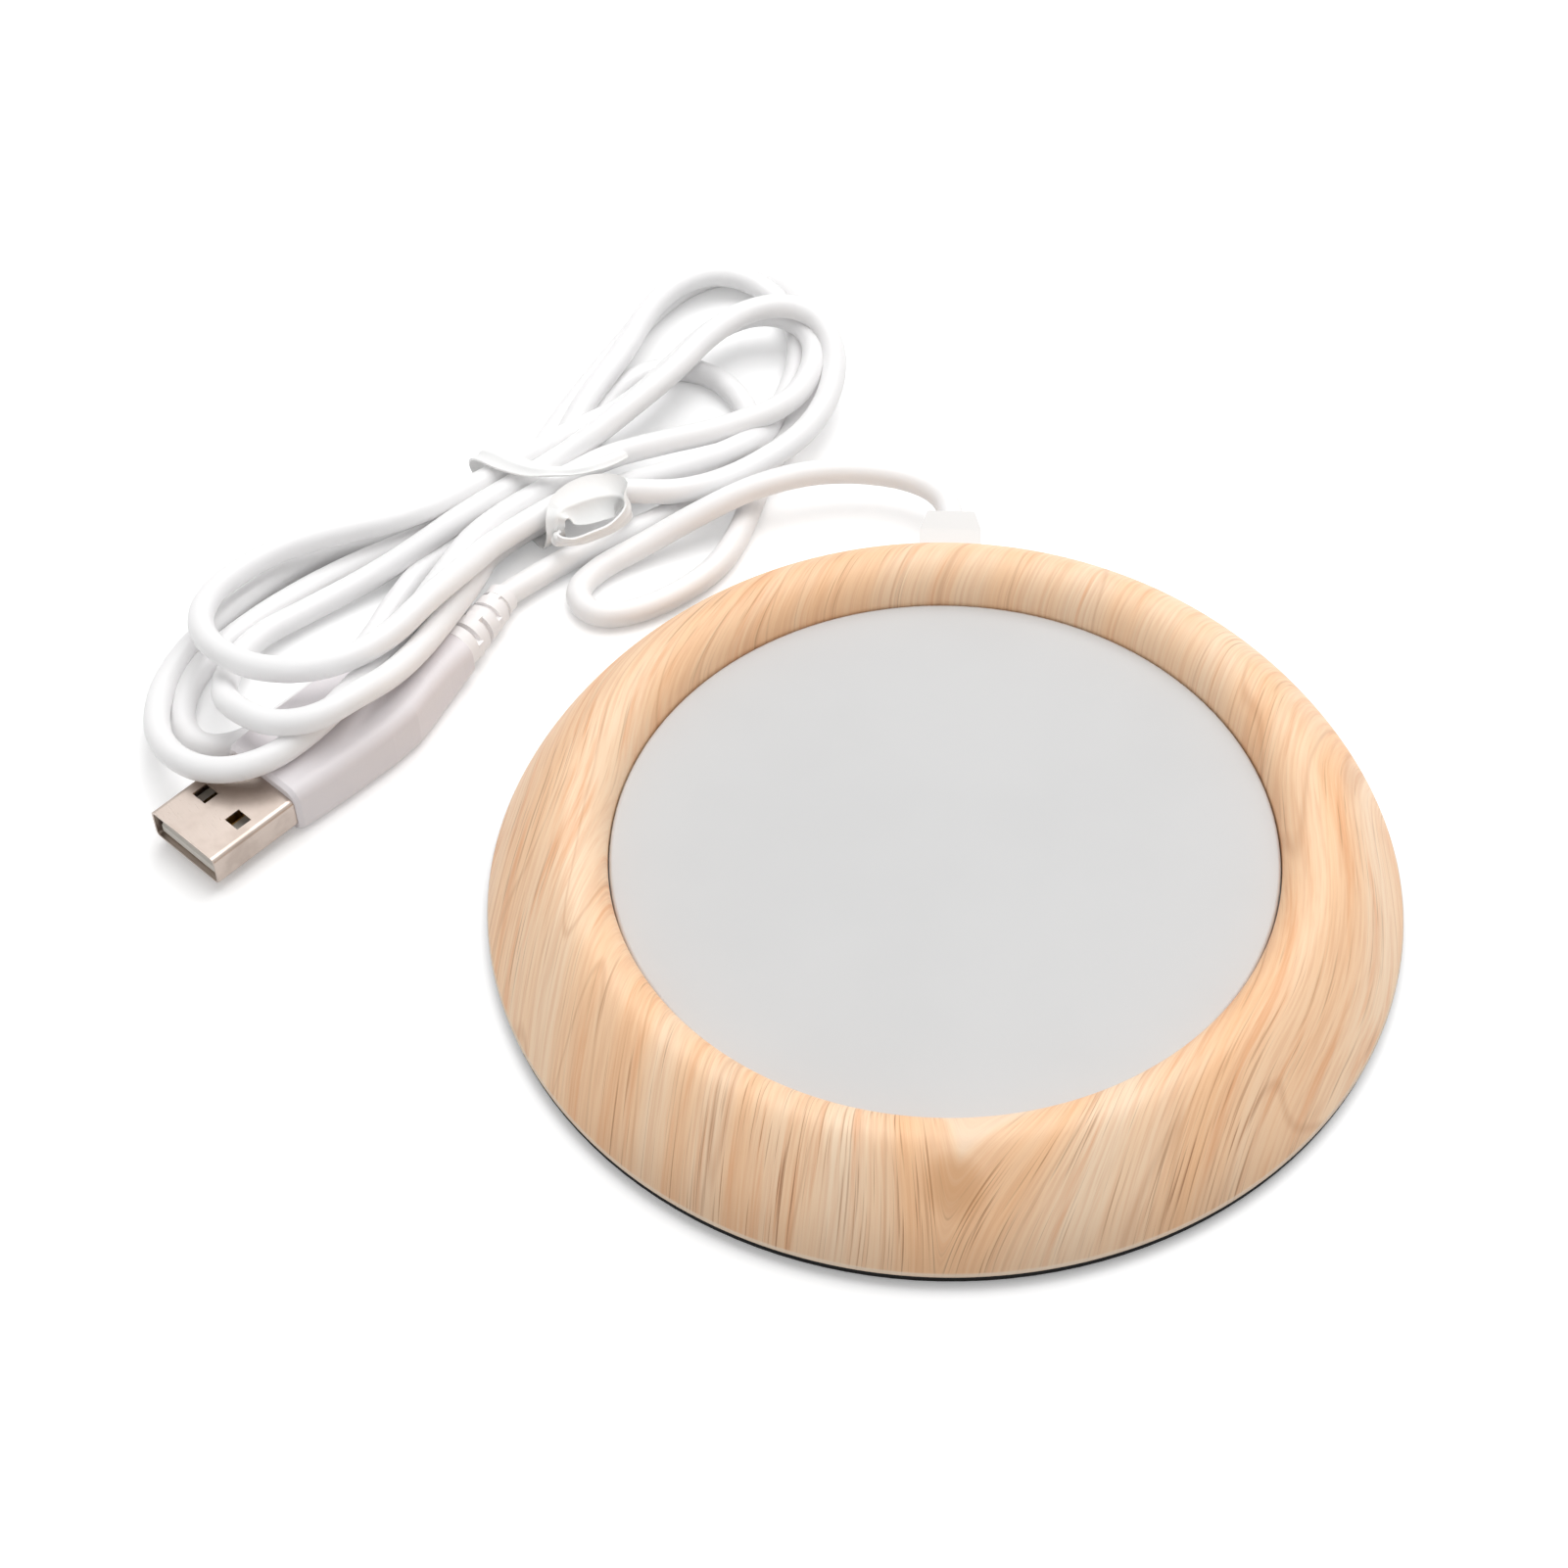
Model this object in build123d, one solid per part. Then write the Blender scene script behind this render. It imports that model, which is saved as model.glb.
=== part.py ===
from build123d import *
import math
import os

# Electric mug warmer, in millimetres. +Z is up, +Y is the side where the cord leaves.
# The origin is the centre of the footprint, on the surface that the rubber feet stand on.

# ---------------------------------------------------------------- driving dimensions
OUTER_RADIUS = 55.0       # ring, at its bottom edge
HEIGHT = 14.0             # surface to the ring's crest
CREST_RADIUS = 44.5
OPENING_RADIUS = 40.0
PLATE_TOP = 9.2           # face that the mug stands on
RIM_Z = 2.0               # parting line between ring and base cover
SKIN = 1.8                # wall of the ring moulding
FOOT_PROUD = 0.5          # how far the feet stand out of the base cover

# plate and what lies under it
PLATE_RADIUS = 39.85
PLATE_SHEET = 1.3
FLANGE_RADIUS = 43.2
FLANGE_TOP = 7.5
FLANGE_SHEET = 1.2
SEAL_HEIGHT = 0.4
ADHESIVE = 0.15
FILM = 0.25
FOIL = 0.08
HEATER_RADIUS = 34.0
TRACK_WIDTH = 1.6
TRACK_PITCH = 4.0
TRACK_ROWS = 14
PAD_X, PAD_Y, PAD_RADIUS = 4.0, 30.5, 2.0
INSULATION_RADIUS = 36.0
INSULATION = 1.8

# fasteners
SCREW_CIRCLE = 47.5
SCREW_ANGLES = (45, 135, 225, 315)
SHANK_RADIUS = 1.3
BOSS_RADIUS = 2.7
BOSS_FOOT_Z = 3.2
FOOT_RADIUS = 4.5

# cord, boot and clamp
CORD = 3.4                # diameter
CORD_Z = 5.3              # height of the cord's axis where it leaves the ring
BOOT_WIDTH, BOOT_TOP = 8.0, 8.6
BOOT_TIP_Y = 58.5
WIRE = 1.2
CLAMP_Y = 45.6
CLAMP_SCREW_X = 5.4
BOOT_FLANGE_Y = 47.8
BOOT_FLANGE = 1.0

# plug
PLUG_MOUTH = (-92.5, 1.4)     # centre of the plug's mouth on the surface
PLUG_ANGLE = 49.5             # direction from the mouth to the cord, from +X
SHELL_WIDTH, SHELL_THICK, SHELL_SHEET = 12.0, 4.5, 0.3
SHELL_SHOWN, SHELL_LENGTH = 12.7, 18.0
OVERMOULD_END, OVERMOULD_THICK = 45.0, 7.6
SHELL_FLOOR = (OVERMOULD_THICK - SHELL_THICK) / 2
# distance from the mouth, half width, low z, high z, corner radius
OVERMOULD_STATIONS = [
    (SHELL_SHOWN, 6.2, 0.5, 7.1, 1.5), (13.3, 6.6, 0.1, 7.5, 1.8),
    (15.0, 6.8, 0.0, OVERMOULD_THICK, 1.9), (21.0, 7.15, 0.0, OVERMOULD_THICK, 1.9),
    (28.0, 7.25, 0.0, OVERMOULD_THICK, 1.9), (32.5, 6.9, 0.0, OVERMOULD_THICK, 1.9),
    (36.5, 5.7, 0.0, 7.5, 1.9), (40.0, 4.6, 0.1, 7.1, 1.9),
    (43.0, 3.8, 0.4, 6.6, 1.9), (OVERMOULD_END, 3.4, 0.8, 6.2, 1.9),
]
RELIEF_START, RELIEF_TIP = (OVERMOULD_END - 1.0, 0.0, 3.4), (56.0, 3.2, 2.4)    # plug's axes

# hank: a loose bundle of turns with a tie round its waist, in axes of its own
HANK_CENTRE = (-54.0, 60.0)
HANK_ANGLE = 42.77
HANK_LEFT_HEIGHT = 14.0       # where the turns lie on the plug
HANK_RIGHT_HEIGHT = 11.0
HANK_LEFT = [(-7, -3.5), (-9, 14.0), (-24, 18.5), (-44, 19.5), (-58.5, 14.0), (-65.5, 3.0),
             (-65.5, -9.0), (-58, -18.5), (-40, -20.5), (-22, -12.0)]
HANK_RIGHT = [(7.5, -3.2), (17, -13.5), (30, -13.0), (43, -9.5), (56, -1.0), (61.5, 13.0),
              (57, 26.0), (44, 28.0), (24, 19.0), (8.5, 14.0)]
WAIST_LOW, WAIST_HIGH = -2.7, 12.9
WAIST_FLOOR, WAIST_TOP = 0.8, 7.3
WAIST_CORNER = 2.0
TIE_SHEET, TIE_WIDTH = 0.75, 3.6
TIE_ALONG = 0.3               # middle of the strip, along the hank
KNOT_OUT, KNOT_LOW, KNOT_HIGH = 3.2, 4.4, 7.4

# The free stretch from the boot, over its own return and round a tight fold, to the hank.
FREE_ROUTE = [
    (0.0, 58.5, 5.3), (0.0, 61.4, 5.3), (-2.2, 64.8, 5.3), (-6.4, 67.0, 5.4),
    (-12.4, 67.7, 5.7), (-19.4, 66.7, 6.2), (-27.0, 63.5, 6.2), (-34.5, 59.6, 4.4),
    (-41.0, 56.0, 2.4),
    (-46.6, 52.3, 1.75), (-49.4, 47.6, 1.7), (-46.4, 43.6, 1.7), (-41.0, 44.4, 1.7),
    (-35.2, 48.2, 1.7), (-30.4, 53.4, 1.7), (-28.0, 59.8, 1.7), (-25.9, 66.0, 1.7),
    (-22.8, 72.4, 1.7),
]
# The lead from the hank back to the plug, in the hank's axes.
PLUG_LEAD_ROUTE = [(23.0, -10.6, 3.2), (13.5, -9.0, 1.75), (7.2, -8.0, 1.75),
                   (1.0, -7.0, 1.8), (-5.2, -6.6, 2.0)]


# ---------------------------------------------------------------- helpers
def turned(profile_face):
    """Solid of revolution about Z of a face drawn in the XZ plane."""
    return revolve(profile_face, Axis.Z)


def outline_face(*edges):
    """Face in the XZ plane inside a closed run of edges given as (radius, height)."""
    with BuildSketch(Plane.XZ) as sketch:
        with BuildLine():
            for kind, *points in edges:
                kind(*points)
        make_face()
    return sketch.sketch


def band(r_in, r_out, z_low, z_high):
    """Plain ring about Z."""
    ring = Cylinder(r_out, z_high - z_low, align=(Align.CENTER, Align.CENTER, Align.MIN))
    if r_in > 0:
        ring -= Cylinder(r_in, z_high - z_low, align=(Align.CENTER, Align.CENTER, Align.MIN))
    return Pos(0, 0, z_low) * ring


def post(x, y, radius, z_low, z_high):
    """Upright round post."""
    return Pos(x, y, 0) * band(0, radius, z_low, z_high)


def block(x_low, x_high, y_low, y_high, z_low, z_high):
    """Box given by its limits."""
    return Pos((x_low + x_high) / 2, (y_low + y_high) / 2, (z_low + z_high) / 2) * Box(
        x_high - x_low, y_high - y_low, z_high - z_low)


def on_circle(angle, radius=SCREW_CIRCLE):
    turn = math.radians(angle)
    return radius * math.cos(turn), radius * math.sin(turn)


def corner_radii(points, share=0.45):
    """Largest fillet at each corner of a route that its two runs leave room for."""
    radii = []
    for before, here, after in zip(points, points[1:], points[2:]):
        one, two = Vector(*here) - Vector(*before), Vector(*after) - Vector(*here)
        half_turn = math.radians(one.get_angle(two)) / 2
        radii.append(share * min(one.length, two.length) / math.tan(half_turn))
    return radii


def tube(points, diameter, radii=None):
    """Round tube along straight runs joined by tangent arcs."""
    radii = radii or corner_radii(points)
    path = FilletPolyline(*points, radius=radii)
    section = Plane(origin=path @ 0, z_dir=path % 0) * Circle(diameter / 2)
    return sweep(section, path=path), path.length


def in_plug(shape):
    return Location((*PLUG_MOUTH, 0), (0, 0, PLUG_ANGLE)) * shape


def in_hank(shape):
    return Location((*HANK_CENTRE, 0), (0, 0, HANK_ANGLE)) * shape


def hank_point(along, across, height):
    turn = math.radians(HANK_ANGLE)
    return (
        HANK_CENTRE[0] + along * math.cos(turn) - across * math.sin(turn),
        HANK_CENTRE[1] + along * math.sin(turn) + across * math.cos(turn),
        height,
    )


def plug_point(along, across, height):
    turn = math.radians(PLUG_ANGLE)
    return (
        PLUG_MOUTH[0] + along * math.cos(turn) - across * math.sin(turn),
        PLUG_MOUTH[1] + along * math.sin(turn) + across * math.cos(turn),
        height,
    )


# ---------------------------------------------------------------- ring moulding
SEAT_Z = FLANGE_TOP + SEAL_HEIGHT         # underside of the lip that the plate hangs under
LEDGE_RADIUS = 42.0
INNER_CREST_Z = HEIGHT - SKIN
RIB_FLOOR_Z = 6.0
RIB_START_RADIUS = 43.4
BOOT_SLOT = (BOOT_WIDTH / 2, BOOT_TOP)


def ring_skin():
    """The wood-look shell: sloping outer face, soft crest, rounded lip, hollow beneath."""
    foot = (OUTER_RADIUS, RIM_Z)
    crest = (CREST_RADIUS, HEIGHT)
    lip = (OPENING_RADIUS, PLATE_TOP)
    inner_crest = (CREST_RADIUS + 0.3, INNER_CREST_Z)
    inner_foot = (OUTER_RADIUS - 2.0, RIM_Z)
    ledge_top = (LEDGE_RADIUS, 10.4)
    return turned(outline_face(
        (Bezier, foot, (54.1, 4.8), (46.7, HEIGHT), crest),
        (Bezier, crest, (42.0, HEIGHT), (OPENING_RADIUS, 11.85), lip),
        (Polyline, lip, (OPENING_RADIUS, SEAT_Z), (LEDGE_RADIUS, SEAT_Z), ledge_top),
        (Bezier, ledge_top, (42.2, 11.7), (43.2, INNER_CREST_Z), inner_crest),
        (Bezier, inner_crest, (45.8, INNER_CREST_Z), (51.8, 4.4), inner_foot),
        (Line, inner_foot, foot),
    ))


def under_skin():
    """Everything below the middle of the skin, to trim what is moulded onto its inside."""
    wall, crest = (42.8, 12.3), (44.7, 13.1)
    return turned(outline_face(
        (Polyline, (54.0, 2.5), (42.8, 2.5), wall),
        (Bezier, wall, (43.2, 13.1), (43.9, 13.1), crest),
        (Bezier, crest, (46.3, 13.1), (53.0, 4.6), (54.0, 2.5)),
    ))


def housing_ring():
    ribs = [
        Rot(0, 0, angle) * block(RIB_START_RADIUS, 53, -0.6, 0.6, RIB_FLOOR_Z, HEIGHT)
        for angle in range(15, 360, 30)
    ]
    bosses = [post(*on_circle(a), BOSS_RADIUS, BOSS_FOOT_Z, HEIGHT) for a in SCREW_ANGLES]
    clamp_bosses = [post(x, CLAMP_Y, 2.1, CORD_Z + 0.1, HEIGHT)
                    for x in (-CLAMP_SCREW_X, CLAMP_SCREW_X)]
    core = under_skin()
    ring = ring_skin()
    for piece in ribs + bosses + clamp_bosses:
        ring += piece & core
    for angle in SCREW_ANGLES:
        ring -= post(*on_circle(angle), SHANK_RADIUS - 0.2, BOSS_FOOT_Z, 8.6)
    for x in (-CLAMP_SCREW_X, CLAMP_SCREW_X):
        ring -= post(x, CLAMP_Y, 0.8, CORD_Z, 10.0)
    half, top = BOOT_SLOT
    return ring - block(-half, half, BOOT_FLANGE_Y + BOOT_FLANGE, 56.0, RIM_Z - 1, top)


# ---------------------------------------------------------------- plate and heater
PLATE_UNDER = PLATE_TOP - PLATE_SHEET
ADHESIVE_UNDER = PLATE_UNDER - ADHESIVE
FILM_UNDER = ADHESIVE_UNDER - FILM
FOIL_UNDER = FILM_UNDER - FOIL
INSULATION_UNDER = FOIL_UNDER - INSULATION


def heating_plate():
    """Pressed sheet: a raised disc in the opening and a flange that hooks under the lip."""
    edge = 0.45
    flange_under = FLANGE_TOP - FLANGE_SHEET
    pocket = PLATE_RADIUS - FLANGE_SHEET
    return turned(outline_face(
        (Polyline, (0, PLATE_UNDER), (0, PLATE_TOP), (PLATE_RADIUS - edge, PLATE_TOP)),
        (RadiusArc, (PLATE_RADIUS - edge, PLATE_TOP), (PLATE_RADIUS, PLATE_TOP - edge), edge),
        (Polyline, (PLATE_RADIUS, PLATE_TOP - edge), (PLATE_RADIUS, FLANGE_TOP),
         (FLANGE_RADIUS, FLANGE_TOP), (FLANGE_RADIUS, flange_under), (pocket, flange_under),
         (pocket, PLATE_UNDER), (0, PLATE_UNDER)),
    ))


def plate_seal():
    """Flat ring with a small bead on its inner edge, squeezed between flange and lip."""
    return band(OPENING_RADIUS + 0.1, LEDGE_RADIUS - 0.1, FLANGE_TOP, SEAT_Z)


def heater_disc(z_low, z_high):
    """Round sheet with a tab towards the cord, where the pads are."""
    disc = band(0, HEATER_RADIUS, z_low, z_high)
    return disc + block(-8, 8, 28, HEATER_RADIUS + 2, z_low, z_high)


def heater_track():
    """Etched serpentine: down one half of the disc, across the front and up the other."""
    reach = HEATER_RADIUS - 3.0
    centre_x = 2.5
    rows = [TRACK_PITCH * ((TRACK_ROWS - 1) / 2 - k) for k in range(TRACK_ROWS)]
    half = [(-PAD_X, PAD_Y), (-PAD_X, rows[0])]
    for upper, lower in zip(rows[0::2], rows[1::2]):
        turn_x = -math.sqrt(reach ** 2 - max(abs(upper), abs(lower)) ** 2)
        if upper != rows[0]:
            half.append((-centre_x, upper))
        half += [(turn_x, upper), (turn_x, lower)]
        if lower != rows[-1]:
            half.append((-centre_x, lower))
    path = half + [(-x, y) for x, y in reversed(half)]
    line = FilletPolyline(*path, radius=TRACK_PITCH / 2 - 0.2)
    foil = extrude(trace(line, TRACK_WIDTH), FOIL)
    for x in (-PAD_X, PAD_X):
        foil += post(x, PAD_Y, PAD_RADIUS, 0, FOIL)
    return Pos(0, 0, FOIL_UNDER) * foil


def insulation_pad():
    """Fibre pad with a window for the cut-out and a channel for the leads."""
    pad = band(0, INSULATION_RADIUS, INSULATION_UNDER, FOIL_UNDER)
    pad -= block(-4, 4, 4.5, 27, INSULATION_UNDER - 1, FOIL_UNDER + 1)
    return pad - block(-7, 7, 26, 40, INSULATION_UNDER - 1, FOIL_UNDER + 1)


CUTOUT_HALF, CUTOUT_Y0, CUTOUT_Y1, CUTOUT_HIGH = 3.2, 5.5, 18.5, 3.0
CUTOUT_UNDER = FOIL_UNDER - CUTOUT_HIGH


def thermal_cutout():
    body = block(-CUTOUT_HALF, CUTOUT_HALF, CUTOUT_Y0, CUTOUT_Y1, CUTOUT_UNDER, FOIL_UNDER)
    return fillet(body.edges().filter_by(Axis.Y), 0.5)


def cutout_strap():
    """Tape strap: flat on the pad at both sides, down and under the cut-out between."""
    sheet = 0.15
    rise, low = INSULATION_UNDER, CUTOUT_UNDER
    points = [(-12, rise), (-5.2, rise), (-3.3, low), (3.3, low), (5.2, rise), (12, rise)]
    under = [(x, z - sheet) for x, z in reversed(points)]
    face = outline_face((Polyline, *points, *under, points[0]))
    return Pos(0, 16, 0) * extrude(face, 8, dir=(0, -1, 0))


# ---------------------------------------------------------------- wiring inside
TAIL_END_Y = 43.5
WIRE_Z = CORD_Z
PAD_TOP = FOIL_UNDER
POSITIVE = [(0.85, TAIL_END_Y, WIRE_Z), (0.85, 38.0, WIRE_Z), (-1.6, 30.0, WIRE_Z),
            (-1.6, CUTOUT_Y1, WIRE_Z)]
NEGATIVE = [(-0.85, TAIL_END_Y, WIRE_Z), (-0.85, 40.5, WIRE_Z), (-PAD_X, 35.6, WIRE_Z),
            (-PAD_X, PAD_Y, 6.8)]
BRIDGE = [(1.6, CUTOUT_Y1, WIRE_Z), (1.6, 26.0, WIRE_Z), (PAD_X, PAD_Y, 6.8)]


def wire(points):
    return tube(points, WIRE)[0]


def solder_joints():
    """A blob of solder on each pad, shaped round the end of its wire."""
    blobs = []
    for x, lead in ((-PAD_X, NEGATIVE), (PAD_X, BRIDGE)):
        dome = Pos(x, PAD_Y, PAD_TOP) * (
            Sphere(1.5) & Pos(0, 0, -1) * Box(4, 4, 2))
        blobs.append(dome - wire(lead))
    return Compound(children=blobs)


def lead_sleeves():
    """Shrink sleeves where the two wires join the cut-out's legs."""
    sleeves = []
    for x in (-1.6, 1.6):
        sleeve = Cylinder(0.95, 5) - Cylinder(WIRE / 2, 5)
        sleeves.append(Pos(x, CUTOUT_Y1 + 3.0, WIRE_Z) * Rot(90, 0, 0) * sleeve)
    return Compound(children=sleeves)


# ---------------------------------------------------------------- base cover and fasteners
COVER_EDGE_RADIUS = 54.8
PRESS_RING = (41.0, 42.6)
HEAD_SEAT_Z = 2.1
FOOT_SEAT_Z = 1.1


def base_cover():
    """Flat black cover: locating rim, ring that presses the plate up, posts and ribs."""
    disc = band(0, COVER_EDGE_RADIUS, FOOT_PROUD, RIM_Z)
    disc = chamfer(disc.edges().group_by(Axis.Z)[0], 0.35)
    cover = disc + band(50.9, 52.0, RIM_Z, 3.4)
    cover += band(*PRESS_RING, RIM_Z, FLANGE_TOP - FLANGE_SHEET)
    for angle in SCREW_ANGLES:
        cover += post(*on_circle(angle), 3.6, RIM_Z, BOSS_FOOT_Z)
    cover += band(11.0, 12.2, RIM_Z, 3.2)
    for angle in range(0, 360, 60):
        cover += Rot(0, 0, angle + 30) * block(12.0, 41.2, -0.6, 0.6, RIM_Z, 3.0)
    gate = block(-6.5, 6.5, 39.0, 53.5, RIM_Z, 9.0)
    cover -= gate
    for angle in SCREW_ANGLES:
        x, y = on_circle(angle)
        cover -= post(x, y, FOOT_RADIUS + 0.1, 0, FOOT_SEAT_Z)
        cover -= post(x, y, 2.4, 0, HEAD_SEAT_Z)
        cover -= post(x, y, SHANK_RADIUS + 0.1, 0, 5)
    return cover


def screw(x, y, head_z, tip_z, shank, head_radius, head_height):
    """Pan-head screw seen from below, with a cross recess in its head."""
    head = post(x, y, head_radius, head_z - head_height, head_z)
    head = fillet(head.edges().group_by(Axis.Z)[0], head_height * 0.45)
    body = head + post(x, y, shank, head_z, tip_z - shank)
    body += Pos(x, y, tip_z - shank / 2) * Cone(shank, 0.2, shank)
    slot = head_height * 0.5
    for turn in (0, 90):
        body -= Pos(x, y, head_z - head_height + slot / 2) * Rot(0, 0, turn) * Box(
            head_radius * 1.1, 0.5, slot)
    return body


def base_screws():
    return Compound(children=[
        screw(*on_circle(a), HEAD_SEAT_Z, 8.4, SHANK_RADIUS - 0.2, 2.2, 0.95)
        for a in SCREW_ANGLES])


def rubber_feet():
    feet = []
    for angle in SCREW_ANGLES:
        foot = post(*on_circle(angle), FOOT_RADIUS, 0, FOOT_SEAT_Z)
        feet.append(fillet(foot.edges().group_by(Axis.Z)[0], 0.35))
    return Compound(children=feet)


# ---------------------------------------------------------------- cord exit
def cord_boot():
    """Moulded boot: flange inside the wall, body in the slot, blunt taper outside."""
    height = BOOT_TOP - RIM_Z
    middle = (BOOT_TOP + RIM_Z) / 2
    inner_y = BOOT_FLANGE_Y + BOOT_FLANGE
    body = block(-BOOT_WIDTH / 2, BOOT_WIDTH / 2, inner_y, 54.0, RIM_Z, BOOT_TOP)
    flange = block(-5.2, 5.2, BOOT_FLANGE_Y, inner_y, RIM_Z, BOOT_TOP - 1.5)
    rear = Plane((0, 54.0, middle), x_dir=(1, 0, 0), z_dir=(0, 1, 0))
    tip = Plane((0, BOOT_TIP_Y, CORD_Z), x_dir=(1, 0, 0), z_dir=(0, 1, 0))
    taper = loft([rear * Rectangle(BOOT_WIDTH, height), tip * Rectangle(6.0, 5.2)])
    taper = fillet(taper.edges().group_by(Axis.Y)[-1], 0.9)
    bore = Pos(0, 52, CORD_Z) * Rot(90, 0, 0) * Cylinder(CORD / 2, 20)
    return body + flange + taper - bore


def cord_tail():
    """The cord's jacketed end, through the boot and the clamp."""
    length = BOOT_TIP_Y - TAIL_END_Y
    return Pos(0, TAIL_END_Y + length / 2, CORD_Z) * Rot(90, 0, 0) * Cylinder(CORD / 2, length)


def cord_clamp():
    """Bar under the cord with a half-round seat, held by two screws."""
    bar = block(-7.8, 7.8, CLAMP_Y - 1.2, CLAMP_Y + 1.2, 2.9, CORD_Z + 0.1)
    bar = fillet(bar.edges().filter_by(Axis.Z), 0.8)
    bar -= Pos(0, CLAMP_Y, CORD_Z) * Rot(90, 0, 0) * Cylinder(CORD / 2, 4)
    for x in (-CLAMP_SCREW_X, CLAMP_SCREW_X):
        bar -= post(x, CLAMP_Y, 0.95, 0, 8)
    return bar


def clamp_screws():
    return Compound(children=[
        screw(x, CLAMP_Y, 2.9, 9.0, 0.8, 1.15, 0.7)
        for x in (-CLAMP_SCREW_X, CLAMP_SCREW_X)])


# ---------------------------------------------------------------- plug
def plug_shell():
    """Folded sheet shell, open at the mouth, with two windows on each broad face."""
    floor, half = SHELL_FLOOR, SHELL_WIDTH / 2
    outer = block(0, SHELL_LENGTH, -half, half, floor, floor + SHELL_THICK)
    outer = fillet(outer.edges().filter_by(Axis.X), 0.7)
    t = SHELL_SHEET
    inner = block(-1, SHELL_LENGTH + 1, -half + t, half - t, floor + t,
                  floor + SHELL_THICK - t)
    inner = fillet(inner.edges().filter_by(Axis.X), 0.4)
    shell = outer - inner
    for side in (-1, 1):
        shell -= block(5.2, 7.4, side * 3.1 - 1.2, side * 3.1 + 1.2, -1, OVERMOULD_THICK)
    return in_plug(shell)


TONGUE_TOP = SHELL_FLOOR + SHELL_SHEET + 1.9


def plug_tongue():
    half = SHELL_WIDTH / 2 - SHELL_SHEET - 0.4
    tongue = block(0.6, SHELL_LENGTH, -half, half, SHELL_FLOOR + SHELL_SHEET, TONGUE_TOP)
    front = tongue.edges().group_by(Axis.X)[0].filter_by(Axis.Y)
    return in_plug(chamfer(front, 0.4))


def plug_contacts():
    """Four strips on the tongue; the two outer ones start nearer the mouth."""
    strips = []
    for y, start in ((-3.5, 1.4), (-1.0, 2.4), (1.0, 2.4), (3.5, 1.4)):
        strip = block(start, 10.2, y - 0.5, y + 0.5, TONGUE_TOP, TONGUE_TOP + 0.2)
        strips.append(in_plug(strip))
    return Compound(children=strips)


def plug_body():
    """Overmould: a little wider in the middle, then drawn in towards the cord."""
    sections = [
        Plane((along, 0, (low + high) / 2), x_dir=(0, 1, 0), z_dir=(1, 0, 0))
        * RectangleRounded(2 * half, high - low, corner)
        for along, half, low, high, corner in OVERMOULD_STATIONS]
    return loft(sections, ruled=True)


def plug_overmould():
    body = plug_body()
    half = SHELL_WIDTH / 2
    pocket = block(SHELL_SHOWN - 1, SHELL_LENGTH, -half, half, SHELL_FLOOR,
                   SHELL_FLOOR + SHELL_THICK)
    pocket = fillet(pocket.edges().filter_by(Axis.X), 0.7)
    return in_plug(body - pocket)


def plug_strain_relief():
    """Tapered sleeve with slots cut from alternate sides so that it can bend."""
    start, tip = Vector(*RELIEF_START), Vector(*RELIEF_TIP)
    axis = tip - start
    length = axis.length
    cone = Pos(0, 0, length / 2) * Cone(2.9, 2.15, length)
    for step in range(3):
        z = 3.6 + 2.5 * step
        side = 1 if step % 2 else -1
        cone -= Pos(0, side * 2.2, z) * Box(8, 3.4, 0.9)
        cone -= Pos(0, -side * 2.6, z + 1.25) * Box(8, 2.4, 0.9)
    sleeve = Plane(origin=start, x_dir=(0, 1, 0), z_dir=axis) * cone
    return in_plug(sleeve - plug_body())


# ---------------------------------------------------------------- the cord's own solids
def lobe(points, height):
    """Upright closed form with a smooth outline and a rounded top."""
    radii = corner_radii([points[-1], *points, points[0]])
    body = extrude(make_face(FilletPolyline(*points, radius=radii, close=True)), height)
    return fillet(body.edges().group_by(Axis.Z)[-1], 2.0)


def waist():
    """Where the tie draws the turns together."""
    core = block(-12, 12, WAIST_LOW, WAIST_HIGH, WAIST_FLOOR, WAIST_TOP)
    return fillet(core.edges().filter_by(Axis.X), WAIST_CORNER)


def cord_hank():
    """Outer shape of the tied turns: a lobe each side of a narrow waist."""
    left = lobe(HANK_LEFT, HANK_LEFT_HEIGHT)
    right = lobe(HANK_RIGHT, HANK_RIGHT_HEIGHT)
    plug_room = in_plug(block(-2, RELIEF_TIP[0] + 0.5, -9, 7.6, -1, OVERMOULD_THICK))
    return in_hank(left + right + waist()) - plug_room


def cord_tie():
    """Twist tie: flat strip round the waist, with its ends twisted into a knot beside it."""
    t, half = TIE_SHEET, TIE_WIDTH / 2
    loop = block(TIE_ALONG - half, TIE_ALONG + half, WAIST_LOW - t, WAIST_HIGH + t,
                 WAIST_FLOOR - t, WAIST_TOP + t)
    loop = fillet(loop.edges().filter_by(Axis.X), WAIST_CORNER + t) - waist()
    knot = block(TIE_ALONG - half, TIE_ALONG + half, WAIST_LOW - KNOT_OUT,
                 WAIST_LOW - t / 2, KNOT_LOW, KNOT_HIGH)
    return in_hank(loop + fillet(knot.edges().filter_by(Axis.X), 0.8))


def power_cord():
    radii = corner_radii(FREE_ROUTE)
    print("free stretch radii", [round(r, 1) for r in radii])
    jacket, length = tube(FREE_ROUTE, CORD, radii)
    report_tube("free stretch", jacket, length)
    return jacket - cord_hank()


def plug_lead():
    tip = Vector(*RELIEF_TIP)
    onward = tip + (tip - Vector(*RELIEF_START)).normalized() * 3.0
    route = [hank_point(*point) for point in PLUG_LEAD_ROUTE]
    route += [plug_point(*onward), plug_point(*tip)]
    radii = corner_radii(route)
    print("plug lead radii", [round(r, 1) for r in radii])
    jacket, length = tube(route, CORD, radii)
    report_tube("plug lead", jacket, length)
    return jacket - cord_hank() - plug_strain_relief()


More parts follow.
